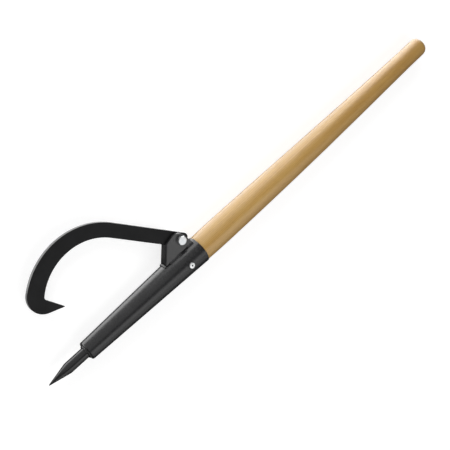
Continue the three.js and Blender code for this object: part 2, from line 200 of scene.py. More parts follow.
def apply_modifier(piece, kind, **settings):
    """Add a modifier, give it its settings and apply it."""
    only(piece)
    modifier = piece.modifiers.new(kind.lower(), kind)
    for name, value in settings.items():
        setattr(modifier, name, value)
    bpy.ops.object.modifier_apply(modifier=modifier.name)


def settle(piece):
    """Write an object's place, turn and size into its mesh."""
    only(piece)
    bpy.ops.object.transform_apply(location=True, rotation=True, scale=True)


def smooth(piece, degrees=35):
    only(piece)
    bpy.ops.object.shade_smooth_by_angle(angle=math.radians(degrees))


def keep_flat(piece):
    """Let big flat faces set the shading beside them, so that a small round leaves no streaks on them."""
    apply_modifier(piece, "WEIGHTED_NORMAL", keep_sharp=True)


print("helpers ready")

# %% [markdown]
# Half of the tool is turned or cut from plate. For both, a line is drawn first by extruding one vertex
# from point to point. Spun about an axis, the line becomes a turned piece, as on a lathe. Closed and
# filled, it becomes a plate's outline. A cutter is such a piece too: a Boolean modifier takes it away
# from a piece, or keeps only what both share, and is then applied.

# %% Helpers for drawing, turning, cutting and softening
# Points closer than this are one point.
same_point = 0.001 * mm


def arc(centre, radius, start, end, step=math.radians(6)):
    """Points on an arc in a plane, both ends included."""
    count = max(1, round(abs(end - start) / step))
    angles = [start + (end - start) * i / count for i in range(count + 1)]
    return [(centre[0] + radius * math.cos(a), centre[1] + radius * math.sin(a)) for a in angles]


def draw(name, points, closed=False):
    """A chain of edges through points, drawn by extruding a single vertex."""
    only(None)
    bpy.ops.mesh.primitive_plane_add(size=mm, location=points[0])
    piece = bpy.context.object
    piece.name = name
    settle(piece)
    edit(piece, "VERT")
    bpy.ops.mesh.select_all(action="SELECT")
    bpy.ops.mesh.merge(type="CENTER")
    path = [Vector(p) for p in points] + ([Vector(points[0])] if closed else [])
    for here, there in zip(path, path[1:]):
        bpy.ops.mesh.extrude_region_move(TRANSFORM_OT_translate={"value": there - here})
    bpy.ops.mesh.select_all(action="SELECT")
    bpy.ops.mesh.remove_doubles(threshold=same_point)
    bpy.ops.object.mode_set(mode="OBJECT")
    return piece


def turn(name, profile, centre, direction, steps=96):
    """Spin a profile of (place along the axis, radius) about the X or the Z axis."""
    if direction == "X":
        points = [(centre.x + place, centre.y, centre.z + radius) for place, radius in profile]
    else:
        points = [(centre.x + radius, centre.y, centre.z + place) for place, radius in profile]
    piece = draw(name, points)
    edit(piece, "VERT")
    bpy.ops.mesh.select_all(action="SELECT")
    spin_axis = (1, 0, 0) if direction == "X" else (0, 0, 1)
    bpy.ops.mesh.spin(steps=steps, angle=2 * math.pi, center=centre, axis=spin_axis)
    bpy.ops.mesh.select_all(action="SELECT")
    bpy.ops.mesh.remove_doubles(threshold=2 * same_point)
    face_outwards()
    return piece


def plate(name, outline, low, high):
    """Fill an outline in the XY plane and extrude it from one height to another."""
    piece = draw(name, [(x, y, low) for x, y in outline], closed=True)
    edit(piece, "VERT")
    bpy.ops.mesh.select_all(action="SELECT")
    bpy.ops.mesh.edge_face_add()
    bpy.ops.mesh.extrude_region_move(TRANSFORM_OT_translate={"value": (0, 0, high - low)})
    face_outwards()
    return piece


def disc(name, centre, radius, low, high, sides=64):
    """An upright cylinder between two heights: a cutter, or a start for a hexagon."""
    only(None)
    bpy.ops.mesh.primitive_cylinder_add(vertices=sides, radius=radius, depth=high - low,
                                        location=(centre.x, centre.y, (low + high) / 2))
    piece = bpy.context.object
    piece.name = name
    settle(piece)
    return piece


def cut(piece, cutter, operation="DIFFERENCE"):
    """Cut a piece with a cutter, or keep what both share, and throw the cutter away."""
    apply_modifier(piece, "BOOLEAN", operation=operation, solver="EXACT", object=cutter)
    bpy.data.objects.remove(cutter)


def soften(piece, width, segments=2, degrees=40):
    """Round every edge that is sharper than an angle a little."""
    apply_modifier(piece, "BEVEL", width=width, segments=segments, limit_method="ANGLE",
                   angle_limit=math.radians(degrees), use_clamp_overlap=True)


def triangles(piece):
    return sum(len(face.vertices) - 2 for face in piece.data.polygons)


print("drawing helpers ready")

# %% [markdown]
# ## The socket
# The real socket is a steel tube, swaged to a taper and cut off square, with its nose pressed in a
# little. A cylinder is added at the tube's size and laid along the tool. One end face is scaled down,
# both end faces are inset by the wall and taken out, and the two open rings are bridged to make the
# bore. Then the nose gets a wide round and the rim a narrow one, as a deburred cut has.

# %% Model the socket
rim_radius = 32.5 * mm
nose_radius = 22.5 * mm
wall = 3.2 * mm
nose_round = 3.6 * mm
rim_round = 0.7 * mm
bore_round = 0.4 * mm
tube_length = rim.x - nose.x
# A point this near to a ring lies on it. The radius may be off by twice as much.
ring_slack = 0.1 * mm

only(None)
bpy.ops.mesh.primitive_cylinder_add(vertices=128, radius=rim_radius, depth=tube_length,
                                    location=(rim + nose) / 2, rotation=(0, quarter, 0))
socket = bpy.context.object
socket.name = "socket"
settle(socket)
taper = nose_radius / rim_radius
pick_faces(socket, front_face)
bpy.ops.transform.resize(value=(1, taper, taper), center_override=nose)
pick_faces(socket, end_face)
bpy.ops.mesh.inset(thickness=wall, use_individual=True)
bpy.ops.mesh.delete(type="FACE")


def ring_at(x, radius):
    """A test for the edges that lie on a ring around the tool's axis."""
    def on_ring(a, b):
        off_place = max(abs(p.x - x) for p in (a, b))
        off_radius = max(abs(math.hypot(p.y - axis.y, p.z - axis.z) - radius) for p in (a, b))
        return off_place < ring_slack and off_radius < 2 * ring_slack
    return on_ring


rim_ring = ring_at(rim.x, rim_radius - wall)
nose_ring = ring_at(nose.x, nose_radius - wall)
found = pick_edges(socket, lambda a, b: rim_ring(a, b) or nose_ring(a, b))
bpy.ops.mesh.bridge_edge_loops()
face_outwards()
print("bridged", found, "edges of the bore's two rings")

edge_rounds = [
    (nose.x, nose_radius, nose_round, 6),
    (rim.x, rim_radius, rim_round, 3),
    (rim.x, rim_radius - wall, bore_round, 2),
]
for x, radius, round_size, segments in edge_rounds:
    found = pick_edges(socket, ring_at(x, radius))
    bpy.ops.mesh.bevel(offset=round_size, segments=segments, affect="EDGES")
    print("rounded", found, "edges at", round(x / mm, 1))
smooth(socket)
print("socket:", triangles(socket), "triangles")

# %% [markdown]
# ## The spike
# The spike is a piece of 1 inch round bar, turned to a long cone. A cylinder is added for the bar. Its
# front face is extruded forwards and scaled down for the cone, and extruded once more for the blunted
# tip. A bevel rounds the ring where bar meets cone, which is never left quite sharp.

# %% Model the spike
bar_radius = 12.7 * mm
cone_length = 53.5 * mm
blunt_radius = 1.3 * mm
blunt_length = 1 * mm
tip_share = 0.35
cone_round = 2.5 * mm
held_chamfer = 2 * mm
held_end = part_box("spike")[1].x
cone_base = tip_x + cone_length
blunt_start = tip_x + blunt_length

only(None)
bpy.ops.mesh.primitive_cylinder_add(vertices=96, radius=bar_radius, depth=held_end - cone_base,
                                    location=((held_end + cone_base) / 2, axis.y, axis.z),
                                    rotation=(0, quarter, 0))
spike = bpy.context.object
spike.name = "spike_bar"
settle(spike)
pick_faces(spike, front_face)
for start_x, end_x, share in (
        (cone_base, blunt_start, blunt_radius / bar_radius), (blunt_start, tip_x, tip_share)):
    bpy.ops.mesh.extrude_region_move()
    bpy.ops.transform.translate(value=(end_x - start_x, 0, 0))
    bpy.ops.transform.resize(value=(1, share, share), center_override=(end_x, axis.y, axis.z))
pick_edges(spike, ring_at(cone_base, bar_radius))
bpy.ops.mesh.bevel(offset=cone_round, segments=4, affect="EDGES")
pick_edges(spike, ring_at(held_end, bar_radius))
bpy.ops.mesh.bevel(offset=held_chamfer, segments=1, affect="EDGES")
smooth(spike, 30)
print("spike:", triangles(spike), "triangles")

# %% [markdown]
# ## The handle
# Handles like this are turned from a square of ash or hickory on a copying lathe, so the way to make one
# here is the same: a profile that is spun. The belly is at the socket, then the handle slims in a long
# even curve to the grip and ends in a flat butt with a well-rounded edge, a quarter of an ellipse. The
# curve runs through a few stations of radius, joined by a smooth spline that passes through each of them.

# %% Model the handle
handle_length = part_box("handle")[1].x - rim.x
belly_radius = 31.75 * mm
grip_radius = 22.3 * mm
shoulder_radius = 31 * mm
shoulder_chamfer = 1.6 * mm
shoulder_bend = 0.5 * mm
butt_length = 14 * mm
butt_depth = 9 * mm
tenon_chamfer = 3 * mm
grip_start_share = 0.92
tenon_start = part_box("handle")[0].x - rim.x
station_shares = [
    (0.065, 1), (0.165, 0.965), (0.32, 0.84), (0.5, 0.63), (0.6, 0.47), (0.72, 0.29), (0.83, 0.12)]


def smooth_through(points, steps):
    """A curve through points: between two of them the slope follows their neighbours."""
    padded = [points[0], *points, points[-1]]
    curve = []
    for a, b, c, d in zip(padded, padded[1:], padded[2:], padded[3:]):
        for i in range(steps):
            t = i / steps
            curve.append(tuple(
                q + (r - p) / 2 * t + (2 * p - 5 * q + 4 * r - s) / 2 * t ** 2
                + (3 * q - p - 3 * r + s) / 2 * t ** 3
                for p, q, r, s in zip(a, b, c, d)))
    return curve + [points[-1]]


def tube_radius(place):
    """The socket's outer radius at a place behind (minus) the rim."""
    return rim_radius + (rim_radius - nose_radius) / tube_length * place


def tenon_radius(place):
    """The tenon's radius at a place behind (minus) the rim: it follows the tapered bore."""
    return tube_radius(place) - wall - seat_gap


swell = belly_radius - grip_radius
stations = [(seat_gap + shoulder_chamfer, shoulder_radius)]
stations += [(along * handle_length, grip_radius + full * swell) for along, full in station_shares]
stations += [(grip_start_share * handle_length, grip_radius)]
butt = [(handle_length - butt_length * (1 - x), grip_radius - butt_depth * (1 - y))
        for x, y in arc((0, 0), 1, quarter, 0)]
chamfer_end = tenon_start + tenon_chamfer
profile = [
    (tenon_start, 0),
    (tenon_start, tenon_radius(tenon_start) - tenon_chamfer),
    (chamfer_end, tenon_radius(chamfer_end)),
    (seat_gap, tenon_radius(0)),
    (seat_gap, shoulder_radius - shoulder_chamfer),
    (seat_gap + shoulder_bend, shoulder_radius - shoulder_bend),
    *smooth_through(stations, 6),
    *butt,
    (handle_length, 0),
]
shaft = turn("handle_turned", profile, rim, "X", 128)
print("handle:", triangles(shaft), "triangles,", round(handle_length / mm, 1), "mm out of the socket")

# %% [markdown]
# Wood moves as it dries, and this handle has bent a few millimetres towards the hook's side. Its first
# quarter is still straight. The turned shape has a ring of points at each station, so the bend is made
# ring by ring: everything beyond a ring is selected and nudged sideways by what the bend grows there.

# %% Bend the handle
bow = 6.9 * mm
bow_start_share = 0.23
bow_start = bow_start_share * handle_length
just_before = 0.01 * mm


def bow_at(place):
    """How far the handle's middle has left the straight line at a place behind the rim."""
    beyond = max(0, (place - bow_start) / (handle_length - bow_start))
    return bow * beyond ** 2


rings = sorted({round((v.co.x - rim.x) / mm, 3) * mm for v in shaft.data.vertices})
rings = [ring for ring in rings if ring > bow_start]
for before, ring in zip([bow_start, *rings], rings):
    least = rim.x + ring - just_before
    pick_edges(shaft, lambda a, b: min(a.x, b.x) > least)
    bpy.ops.transform.translate(value=(0, bow_at(ring) - bow_at(before), 0))
smooth(shaft, 40)
print("bent", len(rings), "rings, the butt by", round(bow_at(handle_length) / mm, 1), "mm")

# %% [markdown]
# ## The hook
# The hook is cut from 9.5 mm plate with a flame or plasma torch. Its outline is a straight shank, a big
# arc for the back, a tight bend at the front and a point that turns back towards the socket. The inside
# is one arc with a small corner round behind the point. The same radii give the outline here. The
# outline is filled and extruded, drilled for the bolt, and all its cut edges are rounded by a grinder.

# %% Draw the hook's outline
shank_width = 32.6 * mm
shank_angle = math.radians(132.5)
heel_length = 20.8 * mm
heel_round = 10 * mm
back_place = 173.2 * mm
back_radius = 162.8 * mm
back_sweep = math.radians(93.7)
bend_radius = 40.1 * mm
bend_sweep = math.radians(113.1)
point_length = 39.4 * mm
point_angle = math.radians(37.3)
point_round = 1.2 * mm
throat_place = 168.7 * mm
throat_radius = 127.7 * mm
throat_round = 8.2 * mm
hook_half = 4.75 * mm
bore_radius = 6.75 * mm
long_arc_step = math.radians(2.5)
bend_step = math.radians(5)
corner_step = math.radians(10)
tip_step = math.radians(20)


def go(start, distance, angle):
    return (start[0] + distance * math.cos(angle), start[1] + distance * math.sin(angle))


def left_to(start, angle):
    return start + (angle - start) % (2 * math.pi)


def right_to(start, angle):
    return start - (start - angle) % (2 * math.pi)


def hook_outline():
    half_width = shank_width / 2
    back_centre = (back_place, back_radius - half_width)
    back_end = back_sweep - quarter
    bend_centre = go(back_centre, back_radius - bend_radius, back_end)
    bend_end = back_end + bend_sweep
    point_way = bend_end + quarter
    tip = go(go(bend_centre, bend_radius, bend_end), point_length, point_way)
    inner_way = point_way + math.pi - point_angle
    tip_centre = go(tip, point_round / math.sin(point_angle / 2), inner_way + point_angle / 2)
    tip_start = point_way - quarter
    tip_end = left_to(tip_start, inner_way - quarter)

    # The corner behind the point touches the point's inner edge and the throat's arc.
    throat_centre = (throat_place, half_width + throat_radius)
    offset = Vector(go(tip, throat_round, inner_way - quarter))
    from_centre = offset - Vector(throat_centre)
    way = Vector(go((0, 0), 1, inner_way))
    near = from_centre.dot(way)
    reach = throat_radius - throat_round
    corner = go(offset, -near + math.sqrt(near ** 2 - from_centre.length_squared + reach ** 2), inner_way)
    corner_start = inner_way + quarter
    corner_turn = math.atan2(corner[1] - throat_centre[1], corner[0] - throat_centre[0])
    throat_start = right_to(corner_start, corner_turn)
    throat_end = right_to(throat_start, -quarter)

    heel = (heel_round - heel_length, half_width - heel_round)
    return (
        arc(heel, heel_round, quarter, math.pi, corner_step)
        + arc((heel[0], -heel[1]), heel_round, math.pi, math.pi + quarter, corner_step)
        + arc(back_centre, back_radius, -quarter, back_end, long_arc_step)
        + arc(bend_centre, bend_radius, back_end, bend_end, bend_step)[1:]
        + arc(tip_centre, point_round, tip_start, tip_end, tip_step)
        + arc(corner, throat_round, corner_start, throat_start, corner_step)
        + arc(throat_centre, throat_radius, throat_start, throat_end, long_arc_step)[1:]
    )


def at_pivot(points, turned=0.0):
    """Points drawn around the pivot, turned and moved to where the pivot is."""
    cos, sin = math.cos(turned), math.sin(turned)
    return [(pivot.x + x * cos - y * sin, pivot.y + x * sin + y * cos) for x, y in points]


outline = at_pivot(hook_outline(), shank_angle)
print("hook outline:", len(outline), "points")

# %% Cut the hook from plate
# Half the height of a cutter that goes right through the hook and the bracket.
cutter_half = 20 * mm
cut_low, cut_high = pivot.z - cutter_half, pivot.z + cutter_half
hook_edge_round = 0.9 * mm

hook = plate("hook_plate", outline, pivot.z - hook_half, pivot.z + hook_half)
cut(hook, disc("hook_bore", pivot, bore_radius, cut_low, cut_high))
soften(hook, hook_edge_round, 3)
smooth(hook, 25)
keep_flat(hook)
print("hook:", triangles(hook), "triangles")

# %% [markdown]
# ## The bracket
# The bracket is a strip of 1/4 inch plate bent to a U around the hook's heel, with its two cheeks cut to a
# round crown. So it is made as the fabricator makes it. The bent strip's section is drawn as a U with
# round outer corners, filled, and pulled along the web into a channel. Solidify would be quicker, but it
# folds over itself here, because the bends are tighter than the plate is thick. Then the cheeks'
# outline, drawn as a thick plate, keeps only the metal that the real bracket has.

# %% Bend and cut the bracket
bracket_plate = 6.35 * mm
cheek_room = 1 * mm
cheek_inner = hook_half + cheek_room
cheek_outer = cheek_inner + bracket_plate
web_angle = math.radians(54)
web_distance = 37 * mm
crown_radius = 21.5 * mm
crown_offset = (-8.5 * mm, -0.5 * mm)
rear_foot = 20.5 * mm
bend_outer = 3.5 * mm
bend_turn_step = math.radians(15)
foot_slope = math.atan2(rim_radius - nose_radius, tube_length)


def crossing(a, angle_a, b, angle_b):
    """Where two lines cross, each given by a point and an angle."""
    between = math.sin(angle_b - angle_a)
    along = ((b[0] - a[0]) * math.sin(angle_b) - (b[1] - a[1]) * math.cos(angle_b)) / between
    return go(a, along, angle_a)


def touching(point, centre, radius, side):
    """The angle of the line from a point that touches a circle on one side."""
    dx, dy = centre[0] - point[0], centre[1] - point[1]
    return math.atan2(dy, dx) + side * math.asin(radius / math.hypot(dx, dy))


middle = (pivot.x, pivot.y)
web_outer = go(middle, web_distance, web_angle + quarter)
web_inner = go(middle, web_distance - bracket_plate, web_angle + quarter)
stop = go(middle, shank_width / 2 + seat_gap, shank_angle + quarter)
floor_line = (rim.x, axis.y + rim_radius + seat_gap)
web_foot = crossing(web_outer, web_angle, floor_line, foot_slope)
web_top = crossing(web_outer, web_angle, stop, shank_angle)
web_corner = crossing(web_inner, web_angle, stop, shank_angle)
rear = crossing((pivot.x + rear_foot, pivot.y), quarter, floor_line, foot_slope)
crown = (pivot.x + crown_offset[0], pivot.y + crown_offset[1])
rear_touch = touching(rear, crown, crown_radius, -1) - quarter
front_touch = left_to(rear_touch, touching(web_top, crown, crown_radius, 1) + quarter)
cheek_outline = [web_foot, rear, *arc(crown, crown_radius, rear_touch, front_touch), web_top]

# The strip's section, seen along the web: its outer face round two bends, and its inner face back.
far = 3 * web_distance
bend_turns = [
    *arc((bend_outer, bend_outer - cheek_outer), bend_outer, -quarter, -math.pi, bend_turn_step),
    *arc((bend_outer, cheek_outer - bend_outer), bend_outer, math.pi, quarter, bend_turn_step),
]
section = [(far, -cheek_outer), *bend_turns, (far, cheek_outer), (far, cheek_inner)]
section += [(bracket_plate, cheek_inner), (bracket_plate, -cheek_inner), (far, -cheek_inner)]
behind = Vector((math.sin(web_angle), -math.cos(web_angle), 0))
along_web = Vector((math.cos(web_angle), math.sin(web_angle), 0))
start = Vector((*web_outer, pivot.z)) - far * along_web
corners = [start + back * behind + Vector((0, 0, height)) for back, height in section]
bracket = draw("bracket_plate", corners, closed=True)
edit(bracket, "VERT")
bpy.ops.mesh.select_all(action="SELECT")
bpy.ops.mesh.edge_face_add()
bpy.ops.mesh.extrude_region_move(TRANSFORM_OT_translate={"value": 2 * far * along_web})
face_outwards()
print("bracket channel:", len(bracket.data.polygons), "faces")

# %% [markdown]
# The channel is far too long, and the cheeks' outline trims it. The web's top edge, which the hook's
# shank rests on, is cut by a wedge that reaches only between the cheeks. Last come the bolt's hole and a
# small round on every edge.

# %% Trim the bracket and drill it
hair = 0.05 * mm
wedge_overrun = 1 * mm
bracket_edge_round = 0.6 * mm

cut(bracket, plate("trim", cheek_outline, cut_low, cut_high), "INTERSECT")
# The wedge cuts a hair below the outline's corner, because a cut through an edge leaves it open.
wedge_start = go(go(web_corner, hair, shank_angle + quarter), -wedge_overrun, shank_angle)
wedge = [wedge_start, go(wedge_start, far, shank_angle), go(wedge_start, far, shank_angle - quarter)]
cut(bracket, plate("wedge", wedge, pivot.z - cheek_inner, pivot.z + cheek_inner))
cut(bracket, disc("bracket_bore", pivot, bore_radius, cut_low, cut_high))
soften(bracket, bracket_edge_round, 2, 30)
smooth(bracket, 25)
keep_flat(bracket)
print("bracket:", triangles(bracket), "triangles")

# %% [markdown]
# ## The weld beads
# A weld laid by hand is a row of small pools of metal that froze one after the other, each a little on
# top of the last. One drop is modelled as a flattened ball. Copies are set along the seam at the real
# spacing, with small seeded differences in size, joined, and melted into one skin by a voxel remesh.

# %% Lay weld beads
import random
drops = random.Random(7)
size_spread_share = 0.08
place_spread_share = 0.1
bead_voxel = 0.45 * mm


def lay_bead(name, seam, size, spacing):
    """A bead along a list of (place, direction of travel, outward direction) on a seam."""
    only(None)
    bpy.ops.mesh.primitive_ico_sphere_add(subdivisions=3, radius=1)
    drop = bpy.context.object
    copies = []
    for place, travel, outward in seam:
        piece = drop.copy()
        piece.data = drop.data.copy()
        bpy.context.scene.collection.objects.link(piece)
        side = travel.cross(outward).normalized()
        grow = 1 + drops.uniform(-size_spread_share, size_spread_share)
        slide = drops.uniform(-place_spread_share, place_spread_share) * spacing
        turn_in = Matrix((travel.normalized(), side, outward.normalized())).transposed().to_4x4()
        grown = Matrix.Diagonal((size[0] * grow, size[1] * grow, size[2] * grow, 1))
        piece.matrix_world = Matrix.Translation(place + slide * travel.normalized()) @ turn_in @ grown
        copies.append(piece)
    bpy.data.objects.remove(drop)
    only(copies[0])
    for piece in copies:
        piece.select_set(True)
    bpy.ops.object.join()
    bead = bpy.context.object
    bead.name = name
    settle(bead)
    apply_modifier(bead, "REMESH", mode="VOXEL", voxel_size=bead_voxel)
    apply_modifier(bead, "SMOOTH", factor=0.4, iterations=2)
    only(bead)
    bpy.ops.object.shade_smooth()
    print(name, len(copies), "drops,", triangles(bead), "triangles")
    return bead


# %% Weld the bracket to the socket
bead_step = 2.4 * mm
bead_size = (2.6 * mm, 4.6 * mm, 2.6 * mm)
bead_lift = 1.2 * mm
# A bead faces outwards by these shares along the two directions square to its seam.
rise_share = 0.55
reach_share = 0.83
# The seam climbs by this share of its run, because the socket is tapered.
tube_slope_share = 0.03
front_seam = (-78 * mm, -46 * mm)
rear_seam = (-23.5 * mm, -9.5 * mm)


def cheek_seam(first, last, side, spacing):
    """The corner between a cheek's outer face and the round socket, walked towards the rim."""
    seam = []
    count = max(2, round((last - first) / spacing))
    for i in range(count + 1):
        place = first + (last - first) * i / count
        radius = tube_radius(place)
        height = side * cheek_outer
        foot = Vector((rim.x + place, axis.y + math.sqrt(radius ** 2 - height ** 2), axis.z + height))
        outward = Vector((0, rise_share, side * reach_share))
        seam.append((foot + Vector((0, bead_lift, 0)), Vector((1, tube_slope_share, 0)), outward))
    return seam


beads = {}
for side_name, side in (("near", 1), ("far", -1)):
    for end_name, (first, last) in (("front", front_seam), ("rear", rear_seam)):
        name = f"bead_{side_name}_{end_name}"
        beads[name] = lay_bead(name, cheek_seam(first, last, side, bead_step), bead_size, bead_step)

# %% Weld the web's foot to the socket
foot_size = (2.3 * mm, 3.4 * mm, 2.3 * mm)
foot_inset = 1.2 * mm
foot_lift = 0.9 * mm
foot_forward = 0.6 * mm
foot_curve_share = 0.35
foot_count = 9

foot_seam = []
foot_outward = Vector((-reach_share, rise_share, 0))
radius = tube_radius(web_foot[0] - rim.x)
for i in range(foot_count + 1):
    height = (2 * i / foot_count - 1) * (cheek_outer - foot_inset)
    drop_y = axis.y + math.sqrt(radius ** 2 - height ** 2)
    place = Vector((web_foot[0] - foot_forward, drop_y + foot_lift, axis.z + height))
    travel = Vector((0, -foot_curve_share * height / cheek_outer, 1))
    foot_seam.append((place, travel, foot_outward))
beads["bead_foot"] = lay_bead("bead_foot", foot_seam, foot_size, bead_step)

# %% [markdown]
# The nose is closed round the spike with one narrow pass of weld. It is a ring of drops, each turned to
# face half outwards and half forwards, and it is made with the same helper as the bracket's beads.

# %% Weld the spike into the nose
drop_count = 30
drop_size = (2.3 * mm, 2.9 * mm, 1.7 * mm)
drop_spacing = 3.1 * mm
ring_forward = 1.2 * mm
ring_radius = 14.8 * mm
forward_share = 0.75

nose_seam = []
ring_place = nose - Vector((ring_forward, 0, 0))
for i in range(drop_count):
    angle = 2 * math.pi * i / drop_count
    radial = Vector((0, math.cos(angle), math.sin(angle)))
    travel = Vector((0, -math.sin(angle), math.cos(angle)))
    outward = (radial - Vector((forward_share, 0, 0))).normalized()
    nose_seam.append((ring_place + ring_radius * radial, travel, outward))
nose_weld = lay_bead("nose_weld", nose_seam, drop_size, drop_spacing)

# %% [markdown]
# ## Bolt, washer, nut and screw
# The pivot is a standard half-inch bolt. Its hexagon is a cylinder with six sides, 3/4 inch across its
# flats, and its corners are turned off the way a real head's are: a Boolean keeps what the hexagon
# shares with a turned blank that has a chamfer. The thread shows only past the nut, so it is a
# triangular ridge wound round the end with the Screw operator, at the real pitch of 13 threads an inch.

# %% Model the bolt
across_flats = 19.05 * mm
chamfer_slope = math.radians(30)
chamfer_circle_share = 0.97
blank_room = 2 * mm
hexagon_round = 0.25 * mm
head_height = 8 * mm
bolt_radius = 6.35 * mm
bolt_length = 44.5 * mm
tip_chamfer = 1.2 * mm
# The thread's root is this much below the shank, and the ridge is wound on it.
root_step = 0.6 * mm
threaded_length = 12 * mm
tip_flat_inset = 1.7 * mm
head_overlap = 2 * mm

half_corner = math.pi / 6
corner_radius = across_flats / 2 / math.cos(half_corner)
head_low = pivot.z + cheek_outer + seat_gap
head_high = head_low + head_height
bolt_end = head_low - bolt_length
upright = Vector((pivot.x, pivot.y, 0))


def hexagon(name, centre, low, high, chamfer_low, chamfer_high):
    """A hexagonal head or nut, its corners turned off at one end or both."""
    made = disc(name, centre, corner_radius, low, high, 6)
    flat = chamfer_circle_share * across_flats / 2
    outside = corner_radius + blank_room
    run = (outside - flat) * math.tan(chamfer_slope)
    blank = [(low, 0), (low, flat if chamfer_low else outside)]
    blank += [(low + run, outside)] if chamfer_low else []
    blank += [(high - run, outside)] if chamfer_high else []
    blank += [(high, flat if chamfer_high else outside), (high, 0)]
    cut(made, turn("blank", blank, Vector((centre.x, centre.y, 0)), "Z"), "INTERSECT")
    soften(made, hexagon_round, 2, 20)
    return made


bolt = hexagon("pivot_bolt_head", pivot, head_low, head_high, False, True)
root_radius = bolt_radius - root_step
shank = turn("bolt_shank", [
    (bolt_end, 0),
    (bolt_end, bolt_radius - tip_flat_inset),
    (bolt_end + tip_chamfer, root_radius),
    (bolt_end + threaded_length, root_radius),
    (bolt_end + threaded_length + root_step, bolt_radius),
    (head_low + head_overlap, bolt_radius),
    (head_low + head_overlap, 0),
], upright, "Z", 64)
print("bolt:", round(bolt_length / mm, 1), "mm under its head")

# %% Wind the bolt's thread
pitch = 25.4 / 13 * mm
thread_depth = 0.75 * mm
thread_turns = 5
thread_start = 0.6 * mm
# The ridge's crest and its foot, as shares of the pitch above where it starts.
crest_share = 0.42
ridge_share = 0.84
thread_low = bolt_end + thread_start

only(None)
root = bolt_radius - thread_depth
section = [(root, 0, 0), (bolt_radius - hair, 0, crest_share * pitch), (root, 0, ridge_share * pitch)]
thread = draw("bolt_thread", section, closed=True)
apply_modifier(thread, "SCREW", axis="Z", screw_offset=pitch, iterations=thread_turns,
               steps=40, render_steps=40, use_merge_vertices=False)
edit(thread, "EDGE")
bpy.ops.mesh.select_all(action="SELECT")
bpy.ops.mesh.fill_holes(sides=4)
face_outwards()
thread.location = (pivot.x, pivot.y, thread_low)
settle(thread)
print("thread:", thread_turns, "turns from", round(thread_low / mm, 2), "to",
      round(max(v.co.z for v in thread.data.vertices) / mm, 2))

# %% Join the bolt
only(bolt)
for part in (shank, thread):
    part.select_set(True)
bpy.ops.object.join()
smooth(bolt, 28)
print("bolt:", triangles(bolt), "triangles")

# %% [markdown]
# On the far side sit a flat washer and a lock nut. The nut is the same hexagon, chamfered at both ends,
# with a turned collar that is crimped over a nylon ring. The ring grips the thread, so it is made a
# little tighter than the bolt.

# %% Model the washer and the lock nut
washer_radius = 13.5 * mm
washer_thickness = 2.4 * mm
washer_round = 0.3 * mm
nut_height = 9.8 * mm
nut_bite = 0.3 * mm
nut_cutter_room = 5 * mm
collar_height = 4.6 * mm
collar_radius = 8.7 * mm
collar_root_radius = 9.2 * mm
collar_inside = 6.9 * mm
collar_sunk = 0.5 * mm
collar_neck = 0.6 * mm
crimp_radius = 1.5 * mm
crimp_edge = (0.5 * mm, 5.9 * mm)
crimp_inside = 0.9 * mm
ring_lift = 0.7 * mm
ring_height = 2.8 * mm
ring_inside = 6 * mm
ring_outside = 7.9 * mm
ring_round = 0.2 * mm


def flat_ring(name, low, high, inside, outside, edge_round):
    """A turned ring with flat ends and softened edges, such as a washer."""
    made = turn(name, [
        (low, inside), (low, outside), (high, outside), (high, inside), (low, inside)], upright, "Z")
    soften(made, edge_round, 2, 60)
    smooth(made, 30)
    return made


washer_high = pivot.z - cheek_outer - seat_gap
washer_low = washer_high - washer_thickness
washer = flat_ring("nut_washer_flat", washer_low, washer_high, bore_radius, washer_radius, washer_round)

nut_high = washer_low - seat_gap
nut_low = nut_high - nut_height
collar_low = nut_low - collar_height
nut = hexagon("lock_nut_body", pivot, nut_low, nut_high, True, True)
collar_top = nut_low + collar_sunk
crimp_centre = (collar_low + crimp_radius, collar_radius - crimp_radius)
collar = turn("collar", [
    (collar_top, collar_inside),
    (collar_top, collar_root_radius),
    (nut_low - collar_neck, collar_radius),
    *arc(crimp_centre, crimp_radius, quarter, math.pi, bend_turn_step),
    (collar_low + crimp_edge[0], crimp_edge[1]),
    (collar_low + crimp_inside, collar_inside),
    (collar_top, collar_inside),
], upright, "Z")
bore_low, bore_high = nut_low - nut_cutter_room, nut_high + nut_cutter_room
cut(nut, disc("nut_bore", pivot, bolt_radius - nut_bite, bore_low, bore_high))
only(nut)
collar.select_set(True)
bpy.ops.object.join()
smooth(nut, 28)

ring_low = collar_low + ring_lift
insert_ring = flat_ring(
    "lock_nut_ring", ring_low, ring_low + ring_height, ring_inside, ring_outside, ring_round)
print("washer:", triangles(washer), "nut:", triangles(nut), "ring:", triangles(insert_ring), "triangles")

# %% [markdown]
# The screw through the socket has a round head with a low dome, a steep side and a deep hexagonal hole.
# Head and shank are one turned profile, and the hole is cut with a six-sided cylinder. A real hole's
# edge is broken a little, which a small bevel does.

